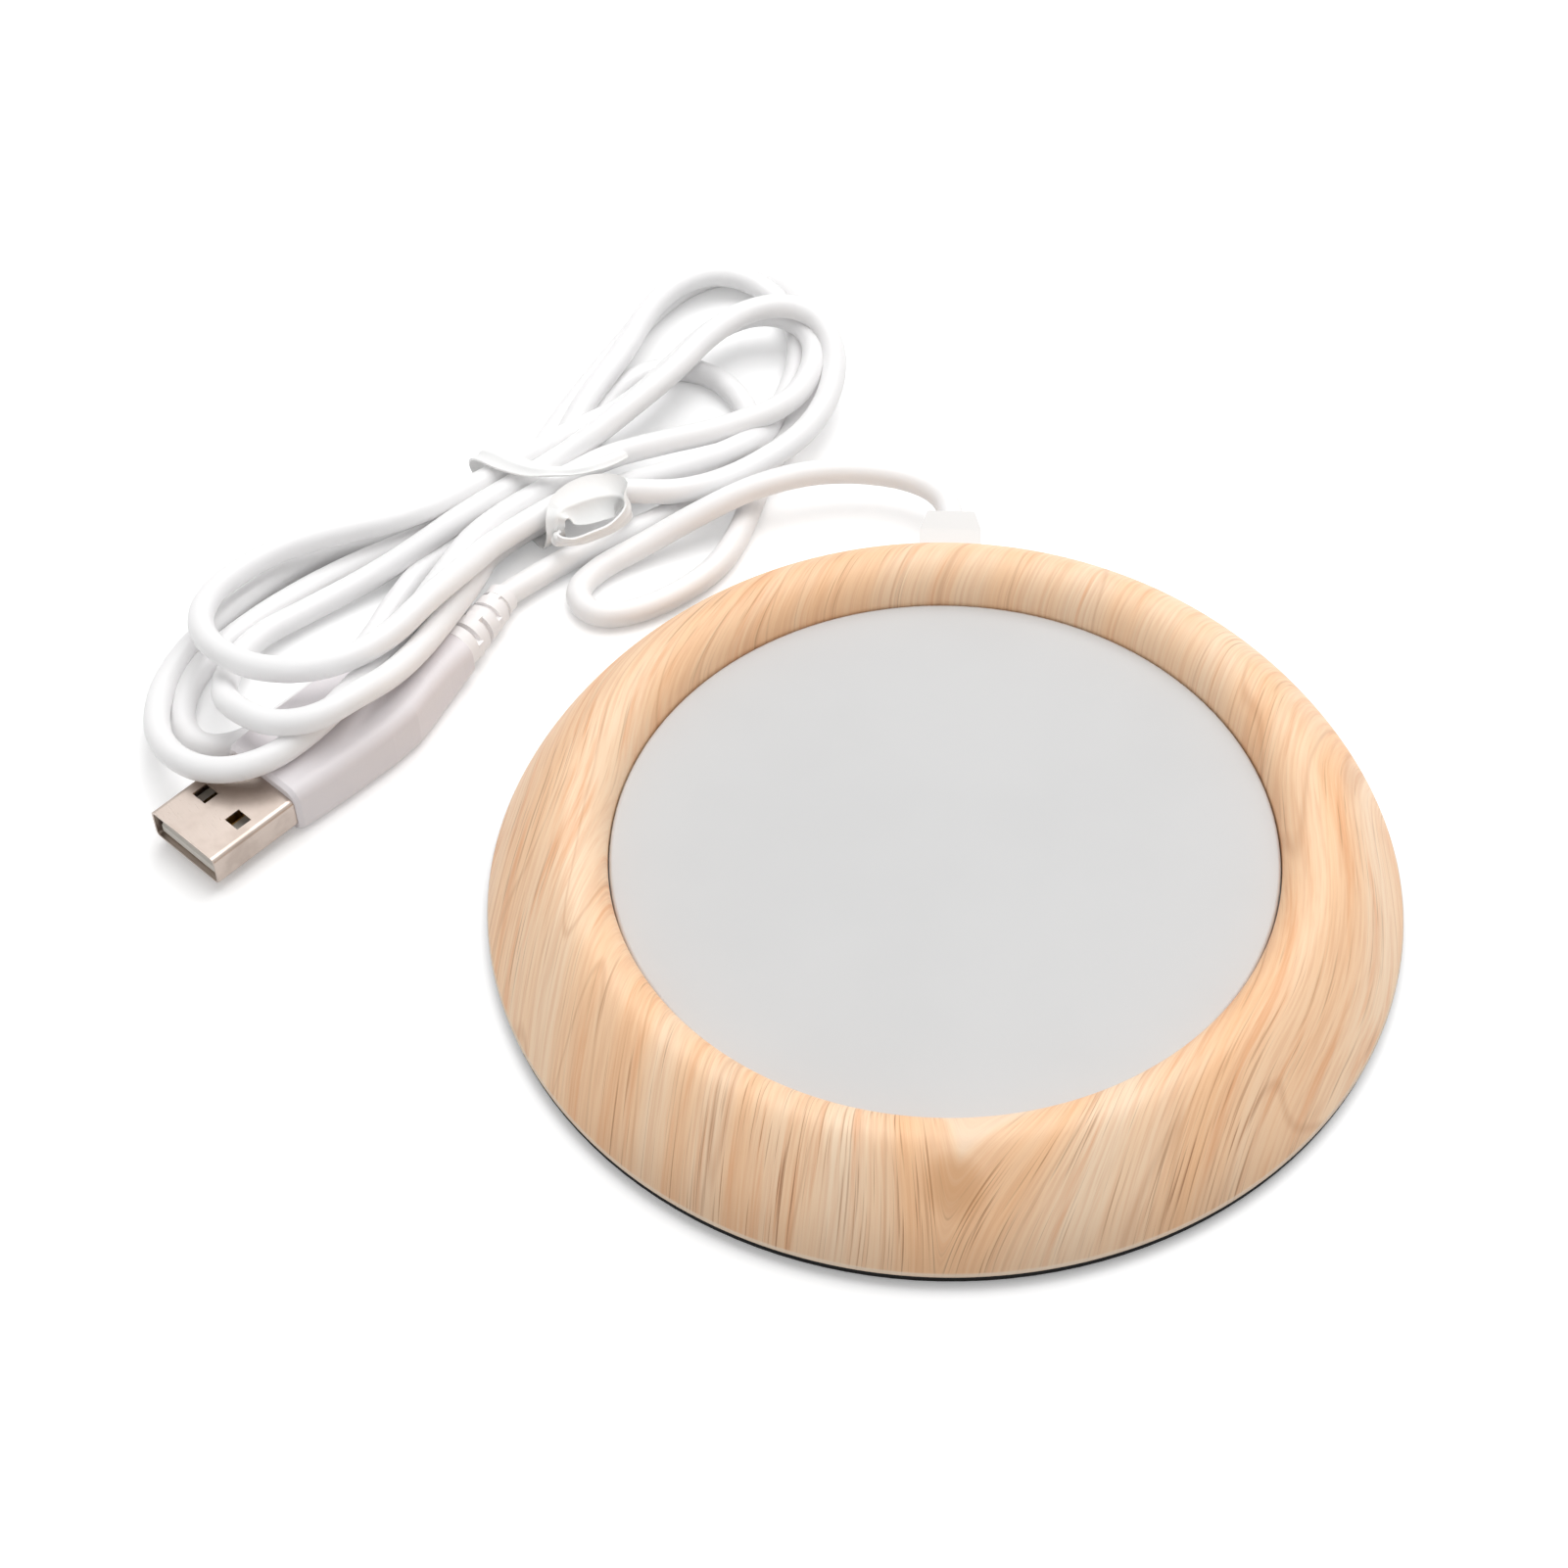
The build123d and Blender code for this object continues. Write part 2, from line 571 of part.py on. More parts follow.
def report_tube(name, jacket, length):
    """A swept tube's volume should be its section times its length."""
    expected = math.pi * (CORD / 2) ** 2 * length
    print(name, "length", round(length, 1), "volume", round(jacket.volume, 1),
          "expected", round(expected, 1))


# ---------------------------------------------------------------- nodes
NODES = {
    "housing_ring": housing_ring,
    "heating_plate": heating_plate,
    "plate_seal": plate_seal,
    "heater_adhesive": lambda: heater_disc(ADHESIVE_UNDER, PLATE_UNDER),
    "heater_film": lambda: heater_disc(FILM_UNDER, ADHESIVE_UNDER),
    "heater_track": heater_track,
    "insulation_pad": insulation_pad,
    "thermal_cutout": thermal_cutout,
    "cutout_strap": cutout_strap,
    "lead_positive": lambda: wire(POSITIVE),
    "lead_negative": lambda: wire(NEGATIVE),
    "lead_bridge": lambda: wire(BRIDGE),
    "lead_sleeves": lead_sleeves,
    "solder_joints": solder_joints,
    "base_cover": base_cover,
    "base_screws": base_screws,
    "rubber_feet": rubber_feet,
    "cord_boot": cord_boot,
    "cord_tail": cord_tail,
    "cord_clamp": cord_clamp,
    "clamp_screws": clamp_screws,
    "plug_shell": plug_shell,
    "plug_tongue": plug_tongue,
    "plug_contacts": plug_contacts,
    "plug_overmould": plug_overmould,
    "plug_strain_relief": plug_strain_relief,
    "power_cord": power_cord,
    "plug_lead": plug_lead,
    "cord_hank": cord_hank,
    "cord_tie": cord_tie,
}

os.makedirs("parts", exist_ok=True)
for node, make in NODES.items():
    export_step(make(), f"parts/{node}.step")
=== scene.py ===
import math

import bmesh
import bpy
from bpy.props import FloatProperty, FloatVectorProperty, IntProperty, PointerProperty
from mathutils import Matrix, Vector


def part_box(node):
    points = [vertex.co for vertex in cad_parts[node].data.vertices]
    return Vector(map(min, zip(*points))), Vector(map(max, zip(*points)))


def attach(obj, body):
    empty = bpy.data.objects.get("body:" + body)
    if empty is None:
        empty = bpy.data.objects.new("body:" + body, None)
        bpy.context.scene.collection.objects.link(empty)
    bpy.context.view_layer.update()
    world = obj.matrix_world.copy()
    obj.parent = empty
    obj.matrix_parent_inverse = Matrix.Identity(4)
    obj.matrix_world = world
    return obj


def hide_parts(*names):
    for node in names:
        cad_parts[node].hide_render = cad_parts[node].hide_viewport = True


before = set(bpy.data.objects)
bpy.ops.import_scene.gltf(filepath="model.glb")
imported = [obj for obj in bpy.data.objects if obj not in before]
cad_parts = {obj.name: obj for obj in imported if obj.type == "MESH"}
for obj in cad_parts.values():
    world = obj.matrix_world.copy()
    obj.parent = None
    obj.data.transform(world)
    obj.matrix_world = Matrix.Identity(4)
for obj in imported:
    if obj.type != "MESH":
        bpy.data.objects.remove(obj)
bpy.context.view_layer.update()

bl_info = {
    "name": "Electric Mug Warmer",
    "version": (1, 0, 0),
    "blender": (4, 5, 0),
    "location": "View3D > Sidebar > Mug Warmer",
    "description": "Finishes the warmer's ring, plate, cover, lead, tie and plug on a pale stage",
    "category": "Object",
}

MM = 0.001
COLOUR = {"subtype": "COLOR", "size": 4, "min": 0, "max": 1}
BODY = "root"
RING_LOW, RING_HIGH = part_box("housing_ring")
PLATE_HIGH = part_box("heating_plate")[1]


# ---------- helpers
def rgb(red, green, blue):
    """Linear colour of a paint-chart value, 0 to 255 a channel."""
    def linear(value):
        share = value / 255
        return share / 12.92 if share <= 0.04045 else ((share + 0.055) / 1.055) ** 2.4
    return linear(red), linear(green), linear(blue), 1.0


class Tree:
    """Short calls for building a node tree."""

    def __init__(self, tree):
        self.tree = tree

    def feed(self, socket, value):
        if isinstance(value, bpy.types.NodeSocket):
            self.tree.links.new(value, socket)
        else:
            socket.default_value = value

    def node(self, kind, inputs=None, **attributes):
        made = self.tree.nodes.new(kind)
        for name, value in attributes.items():
            setattr(made, name, value)
        for name, value in (inputs or {}).items():
            self.feed(made.inputs[name], value)
        return made

    def calc(self, operation, *values):
        made = self.tree.nodes.new("ShaderNodeMath")
        made.operation = operation
        for socket, value in zip(made.inputs, values):
            self.feed(socket, value)
        return made.outputs[0]

    def chain(self, operation, first, *others):
        for value in others:
            first = self.calc(operation, first, value)
        return first

    def add(self, *values):
        return self.chain("ADD", *values)

    def times(self, *values):
        return self.chain("MULTIPLY", *values)

    def minus(self, one, two):
        return self.calc("SUBTRACT", one, two)

    def vector(self, operation, *values):
        made = self.tree.nodes.new("ShaderNodeVectorMath")
        made.operation = operation
        for socket, value in zip(made.inputs, values):
            self.feed(socket, value)
        return made.outputs["Value" if operation == "LENGTH" else "Vector"]

    def xyz(self, x, y, z):
        return self.node("ShaderNodeCombineXYZ", {"X": x, "Y": y, "Z": z}).outputs[0]

    def split(self, vector):
        return self.node("ShaderNodeSeparateXYZ", {"Vector": vector}).outputs

    def noise(self, vector, scale, detail=2.0, roughness=0.5):
        made = self.node("ShaderNodeTexNoise", {
            "Vector": vector, "Scale": scale, "Detail": detail, "Roughness": roughness})
        return made.outputs["Fac"]

    def fade(self, value, low, high, low_result=0.0, high_result=1.0):
        """Smooth step from one result to the other as value goes from low to high."""
        made = self.node("ShaderNodeMapRange", {
            "Value": value, "From Min": low, "From Max": high,
            "To Min": low_result, "To Max": high_result}, interpolation_type="SMOOTHSTEP")
        return made.outputs["Result"]

    def bump(self, strength, distance, height):
        made = self.node("ShaderNodeBump", {
            "Strength": strength, "Distance": distance, "Height": height})
        return made.outputs["Normal"]

    def mix(self, factor, one, two, blend="MIX"):
        made = self.tree.nodes.new("ShaderNodeMix")
        made.data_type = "RGBA"
        made.blend_type = blend
        self.feed(made.inputs[0], factor)
        self.feed(made.inputs[6], one)
        self.feed(made.inputs[7], two)
        return made.outputs[2]

    def ramp(self, factor, stops):
        """Colour ramp through (place, colour) stops."""
        made = self.node("ShaderNodeValToRGB", {"Fac": factor})
        elements = made.color_ramp.elements
        while len(elements) < len(stops):
            elements.new(0.5)
        for element, (place, colour) in zip(elements, stops):
            element.position = place
            element.color = colour
        return made.outputs["Color"]


SOCKET_TYPES = {float: "NodeSocketFloat", int: "NodeSocketInt", tuple: "NodeSocketColor"}


def group_tree(name, kind, inputs, outputs):
    """A node group and its two end nodes. An input has a default, or only a socket type."""
    group = bpy.data.node_groups.new(name, kind)
    for socket_name, default in inputs.items():
        bare = isinstance(default, str)
        socket = group.interface.new_socket(
            socket_name, in_out="INPUT",
            socket_type=default if bare else SOCKET_TYPES[type(default)])
        if not bare:
            socket.default_value = default
    for socket_name, socket_type in outputs.items():
        group.interface.new_socket(socket_name, in_out="OUTPUT", socket_type=socket_type)
    tree = Tree(group)
    return tree, tree.node("NodeGroupInput").outputs, tree.node("NodeGroupOutput").inputs


def finish_tree(name, **values):
    """A material with its own name, its tree, and its main shader with plain values set."""
    material = bpy.data.materials.new(name)
    material.use_nodes = True
    tree = Tree(material.node_tree)
    shader = material.node_tree.nodes["Principled BSDF"]
    for socket, value in values.items():
        shader.inputs[socket.replace("_", " ")].default_value = value
    place = tree.node("ShaderNodeTexCoord").outputs["Object"]
    return material, tree, shader, place


def dress(node, material):
    """Give a solid from the frame its finish."""
    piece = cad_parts[node]
    piece.data.materials.clear()
    piece.data.materials.append(material)
    return piece


def add_piece(name, shape, material, slot, *stands_for):
    """Put a made mesh or curve in the scene, in place of the solids it stands for."""
    shape.materials.clear()
    shape.materials.append(material)
    piece = bpy.data.objects.new(name, shape)
    bpy.context.scene.collection.objects.link(piece)
    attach(piece, BODY)
    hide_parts(*stands_for)
    return piece


def baked(name, tree, values, base=None):
    """Run a geometry tree once and keep its result as a plain mesh."""
    carrier = bpy.data.objects.new(name + "_carrier", base or bpy.data.meshes.new(name))
    bpy.context.scene.collection.objects.link(carrier)
    modifier = carrier.modifiers.new("build", "NODES")
    modifier.node_group = tree
    sockets = {item.name: item.identifier for item in tree.interface.items_tree
               if item.item_type == "SOCKET" and item.in_out == "INPUT"}
    for socket, value in values.items():
        modifier[sockets[socket]] = value
    graph = bpy.context.evaluated_depsgraph_get()
    mesh = bpy.data.meshes.new_from_object(carrier.evaluated_get(graph), depsgraph=graph)
    mesh.name = name
    carrier.modifiers.remove(modifier)
    bpy.data.objects.remove(carrier)
    return mesh


# ---------- user settings
class WarmerRingSettings(bpy.types.PropertyGroup):
    """Sizes and print of the wood-look ring."""

    outer_radius: FloatProperty(
        name="Outer Radius", description="Ring radius at its bottom edge",
        default=RING_HIGH[0], unit="LENGTH")
    height: FloatProperty(
        name="Height", description="Surface to the ring's crest",
        default=RING_HIGH[2], unit="LENGTH")
    crest_radius: FloatProperty(
        name="Crest Radius", description="Where the ring is highest",
        default=44.5 * MM, unit="LENGTH")
    opening_radius: FloatProperty(
        name="Opening Radius", description="Edge of the lip over the plate",
        default=40.0 * MM, unit="LENGTH")
    skin: FloatProperty(
        name="Skin", description="Wall of the moulding", default=1.8 * MM, unit="LENGTH")
    segments: IntProperty(
        name="Segments", description="Facets round the ring", default=288, min=64)
    grain_angle: FloatProperty(
        name="Grain Angle", description="Direction of the printed grain from +X",
        default=math.radians(78.0), subtype="ANGLE")
    base: FloatVectorProperty(
        name="Wood", description="Main tone of the print", default=rgb(255, 217, 179), **COLOUR)
    pale: FloatVectorProperty(
        name="Pale Wood", description="Light bands of the print", default=rgb(255, 226, 194),
        **COLOUR)
    warm: FloatVectorProperty(
        name="Warm Wood", description="Warm bands of the print", default=rgb(254, 205, 159),
        **COLOUR)
    streak: FloatVectorProperty(
        name="Streak", description="Colour of the tapered streaks", default=rgb(236, 168, 117),
        **COLOUR)


class WarmerCordSettings(bpy.types.PropertyGroup):
    """The lead from the boot to the plug."""

    diameter: FloatProperty(
        name="Diameter", description="Outside of the jacket", default=3.4 * MM, unit="LENGTH")
    length: FloatProperty(
        name="Length", description="Boot to plug", default=1.15, unit="LENGTH")
    jacket: FloatVectorProperty(
        name="Jacket", description="Colour of the jacket", default=rgb(253, 252, 252), **COLOUR)
    tie: FloatVectorProperty(
        name="Tie", description="Colour of the twist tie", default=rgb(252, 252, 251), **COLOUR)


class WarmerPlugSettings(bpy.types.PropertyGroup):
    """Finish of the plug."""

    moulding: FloatVectorProperty(
        name="Moulding", description="Colour of the plug's grip", default=rgb(234, 229, 231),
        **COLOUR)
    nickel: FloatVectorProperty(
        name="Nickel", description="Tint of the plated shell", default=rgb(188, 175, 166),
        **COLOUR)
    relief_rings: IntProperty(
        name="Relief Rings", description="Rings of the slotted sleeve", default=5, min=3)


class WarmerBodySettings(bpy.types.PropertyGroup):
    """Finish of the plate and of the cover."""

    plate: FloatVectorProperty(
        name="Plate", description="Colour of the coated plate", default=rgb(207, 207, 207),
        **COLOUR)
    cover: FloatVectorProperty(
        name="Cover", description="Colour of the base cover", default=rgb(14, 13, 13), **COLOUR)


class WarmerStageSettings(bpy.types.PropertyGroup):
    """Camera and light."""

    camera_height: FloatProperty(
        name="Camera Height Angle", description="Angle of the camera above the surface",
        default=math.radians(51.51), subtype="ANGLE")
    camera_distance: FloatProperty(
        name="Camera Distance", description="Camera to the ring's centre",
        default=0.374, unit="LENGTH")
    camera_roll: FloatProperty(
        name="Camera Roll", description="Turn of the camera about its own axis",
        default=math.radians(-2.22), subtype="ANGLE")
    lens: FloatProperty(
        name="Lens", description="Focal length in millimetres", default=70.70)
    sky: FloatProperty(
        name="Sky Level", description="Even light from all round", default=0.44, min=0)
    key: FloatProperty(
        name="Key Level", description="Power of the large lamp overhead", default=6.8, min=0)


# ---------- shared node groups
SURFACE = {"Colour": "NodeSocketColor", "Roughness": "NodeSocketFloat",
           "Normal": "NodeSocketVector"}


def moulded_skin_group():
    """Fine texture of a moulded surface, with a slow drift of tone and gloss."""
    tree, given, out = group_tree("Moulded Skin", "ShaderNodeTree", {
        "Vector": "NodeSocketVector", "Grain": 4000.0, "Depth": 0.00002, "Gloss": 0.45,
        "Colour": (0.8, 0.8, 0.8, 1.0)}, SURFACE)
    grain = tree.noise(given["Vector"], given["Grain"])
    drift = tree.noise(given["Vector"], 55.0)
    tone = tree.fade(drift, 0.3, 0.7, 0.975, 1.0)
    shade = tree.xyz(tone, tone, tone)
    tree.feed(out["Colour"], tree.mix(1.0, given["Colour"], shade, "MULTIPLY"))
    swing = tree.calc("MULTIPLY_ADD", grain, 0.10, -0.05)
    tree.feed(out["Roughness"], tree.add(given["Gloss"], swing))
    tree.feed(out["Normal"], tree.bump(1.0, given["Depth"], grain))
    return tree.tree


def worn_metal_group():
    """Fine directional scratches and a slow cloud of tarnish on plated or bare metal."""
    tree, given, out = group_tree("Worn Metal", "ShaderNodeTree", {
        "Vector": "NodeSocketVector", "Colour": (0.8, 0.8, 0.8, 1.0), "Gloss": 0.25,
        "Tarnish": 0.15}, SURFACE)
    along = tree.vector("MULTIPLY", given["Vector"], (300.0, 6000.0, 6000.0))
    scratch = tree.noise(along, 1.0, 3.0, 0.6)
    cloud = tree.noise(given["Vector"], 260.0, 3.0)
    mask = tree.times(tree.fade(cloud, 0.42, 0.68), given["Tarnish"])
    tree.feed(out["Colour"], tree.mix(mask, given["Colour"], rgb(120, 104, 92)))
    swing = tree.calc("MULTIPLY_ADD", scratch, 0.16, -0.08)
    dull = tree.calc("MULTIPLY_ADD", mask, 0.3, swing)
    tree.feed(out["Roughness"], tree.add(given["Gloss"], dull))
    tree.feed(out["Normal"], tree.bump(1.0, 0.000004, scratch))
    return tree.tree


def surfaced(name, group, maker, settings, turn=0.0, **values):
    """A material whose look comes from a shared group, made when it is first needed."""
    material, tree, shader, place = finish_tree(name, **values)
    if turn:
        place = tree.node("ShaderNodeMapping", {
            "Vector": place, "Rotation": (0.0, 0.0, turn)}).outputs[0]
    look = tree.node("ShaderNodeGroup", node_tree=bpy.data.node_groups.get(group) or maker())
    for socket, value in {"Vector": place, **settings}.items():
        tree.feed(look.inputs[socket], value)
    for socket, result in (("Base Color", "Colour"), ("Roughness", "Roughness"),
                           ("Normal", "Normal")):
        tree.feed(shader.inputs[socket], look.outputs[result])
    return material


def moulded(name, colour, gloss=0.45, grain=4000.0, depth=0.00002, **values):
    """Moulded plastic or rubber, with grains to the metre and their depth in metres."""
    return surfaced(name, "Moulded Skin", moulded_skin_group, {
        "Grain": grain, "Depth": depth, "Gloss": gloss, "Colour": colour}, **values)


def metal(name, colour, gloss=0.25, tarnish=0.15, turn=0.0, **values):
    """Plated, rolled or turned metal; turn sets the way the scratches run."""
    return surfaced(name, "Worn Metal", worn_metal_group, {
        "Colour": colour, "Gloss": gloss, "Tarnish": tarnish}, turn, Metallic=1.0, **values)


# ---------- ring
FORK = (2.5, -46.5)         # tip of the forked figure in the print, mm
FRONT_LEAN = 0.20           # how much the front right's lines lean over
BACK_LEAN = 0.26            # and the back's
RIM_LINE = 2.55             # height of the pale band along the ring's bottom edge, mm
CONTOUR_TONE = rgb(196, 142, 102)
FIBRE_TONE, FIBRE_LIGHT = rgb(222, 160, 116), rgb(255, 232, 206)
HAIR_TONE = rgb(160, 108, 72)
FORK_LIGHT, FORK_DARK = rgb(254, 226, 198), rgb(214, 158, 106)
# Painted shade: darker low on the ring's front, where shade falls, not a colour of the print.
LOW_FRONT_PAINTED_SHADE = rgb(176, 142, 112)
RIM_TONE = rgb(246, 226, 204)


def grain_axes(tree, place, angle):
    """Distance along and across the grain in millimetres, bent by slow waves."""
    turned = tree.node("ShaderNodeMapping", {
        "Vector": place, "Rotation": (0.0, 0.0, -angle), "Scale": (1000.0, 1000.0, 1000.0)})
    axes = tree.split(turned.outputs[0])
    along, across = axes["X"], axes["Y"]
    slow = tree.noise(tree.xyz(tree.times(along, 0.35), across, 3.0), 0.0125, 1.0)
    quick = tree.noise(tree.xyz(tree.times(along, 0.5), across, 9.0), 0.045, 1.0)
    bend = tree.add(tree.calc("MULTIPLY_ADD", slow, 14.0, -7.0),
                    tree.calc("MULTIPLY_ADD", quick, 4.0, -2.0))
    spot = tree.split(place)
    right = tree.fade(spot["X"], 0.0, 32.0 * MM)
    front = tree.fade(spot["Y"], -28.0 * MM, 12.0 * MM, 1.0, 0.0)
    back = tree.fade(spot["Y"], 4.0 * MM, 40.0 * MM)
    front_slant = tree.times(right, front, FRONT_LEAN, tree.add(along, 45.0))
    back_slant = tree.times(back, BACK_LEAN, tree.add(along, -22.0))
    return along, tree.add(across, bend, tree.add(front_slant, back_slant))


def forked(tree, along, across, angle):
    """Mirror the lines about one line of grain, and draw them to a V at the fork's tip."""
    middle_along = FORK[0] * math.cos(angle) + FORK[1] * math.sin(angle)
    middle_across = -FORK[0] * math.sin(angle) + FORK[1] * math.cos(angle)
    off_along = tree.minus(along, middle_along)
    off_across = tree.minus(across, middle_across)
    square = tree.times(off_across, off_across)
    spread = tree.calc("SQRT", tree.add(square, 0.6))
    reach = tree.calc("SQRT", tree.add(
        tree.calc("POWER", tree.times(off_along, 0.7), 2.0), square))
    near = tree.fade(reach, 2.0, 17.0, 0.42, 0.0)
    drawn = tree.minus(spread, tree.times(near, off_along))
    return drawn, tree.times(off_across, 0.012), off_along, off_across


def wood_print(ring):
    """Printed wood: tone bands, tapered streaks, contour lines, fibres and pores, and painted
    shade low on the front.
    """
    material, tree, shader, place = finish_tree("wood_print", Coat_Roughness=0.4)
    along, across = grain_axes(tree, place, ring.grain_angle)
    across, side, off_along, off_across = forked(tree, along, across, ring.grain_angle)

    def marks(length, width, seed, detail=2.0, roughness=0.5):
        """Noise whose marks are about this long and wide, in millimetres."""
        vector = tree.xyz(tree.calc("DIVIDE", along, length), tree.calc("DIVIDE", across, width),
                          tree.add(side, seed))
        return tree.noise(vector, 1.0, detail, roughness)

    bands = marks(90.0, 7.0, 1.0)
    streaks = marks(24.0, 1.25, 4.0, 4.0, 0.6)
    fibres = marks(10.0, 0.40, 7.0, 3.0, 0.6)
    figure = marks(75.0, 12.0, 11.0, 1.0)
    hairs = marks(11.0, 0.30, 15.0)
    cluster = marks(20.0, 9.0, 19.0, 1.0)

    tone = tree.ramp(bands, [(0.34, tuple(ring.warm)), (0.50, tuple(ring.base)),
                             (0.68, tuple(ring.pale))])
    tone = tree.mix(tree.times(tree.fade(streaks, 0.52, 0.72), 0.58), tone, tuple(ring.streak))
    wave = tree.calc("PINGPONG", tree.times(figure, 11.0), 1.0)
    tone = tree.mix(tree.fade(wave, 0.0, 0.10, 0.30, 0.0), tone, CONTOUR_TONE)
    tone = tree.mix(tree.fade(fibres, 0.40, 0.68, 0.0, 0.32), tone, FIBRE_TONE)
    tone = tree.mix(tree.fade(fibres, 0.30, 0.44, 0.16, 0.0), tone, FIBRE_LIGHT)
    front = tree.fade(tree.split(place)["Y"], -46.0 * MM, -30.0 * MM, 0.42, 0.0)
    hair_mask = tree.times(tree.fade(hairs, 0.56, 0.72),
                           tree.add(tree.fade(cluster, 0.42, 0.60, 0.08, 0.42), front))
    tone = tree.mix(hair_mask, tone, HAIR_TONE)

    fork_reach = tree.add(tree.calc("ABSOLUTE", off_across), tree.times(off_along, -0.55))
    in_fork = tree.times(tree.fade(fork_reach, -0.6, 0.8, 1.0, 0.0),
                         tree.fade(off_along, 7.0, 10.0, 0.75, 0.0))
    tone = tree.mix(in_fork, tone, FORK_LIGHT)
    below = tree.add(tree.calc("POWER", tree.times(off_across, 0.30), 2.0),
                     tree.calc("POWER", tree.calc("MULTIPLY_ADD", off_along, 0.36, 0.9), 2.0))
    tone = tree.mix(tree.fade(below, 0.0, 1.3, 0.55, 0.0), tone, FORK_DARK)

    height = tree.times(tree.split(place)["Z"], 1000.0)
    # Painted shade: the front is darkened towards its bottom edge, standing in for the shade that
    # falls there.
    painted_low_front_shade = tree.times(front, tree.fade(height, 2.5, 9.5, 0.75, 0.0))
    tone = tree.mix(painted_low_front_shade, tone, LOW_FRONT_PAINTED_SHADE)
    rim = tree.fade(height, RIM_LINE - 0.25, RIM_LINE + 0.05, 0.8, 0.0)
    tree.feed(shader.inputs["Base Color"], tree.mix(rim, tone, RIM_TONE))
    tree.feed(shader.inputs["Roughness"], tree.fade(streaks, 0.3, 0.8, 0.50, 0.60))
    shader.inputs["Coat Weight"].default_value = 0.05
    shader.inputs["Specular IOR Level"].default_value = 0.35
    relief = tree.minus(tree.times(fibres, 0.5), hair_mask)
    tree.feed(shader.inputs["Normal"], tree.bump(0.6, 0.00003, relief))
    return material


RIB_SIZE = (5.6 * MM, 1.2 * MM, 3.9 * MM)
RIB_HEIGHT = 7.95 * MM      # middle of a rib above the surface
RIB_OUT = 2.7 * MM          # and beyond the crest
RIB_SLOPE = -0.73           # fall of a rib's top edge, to lie along the skin


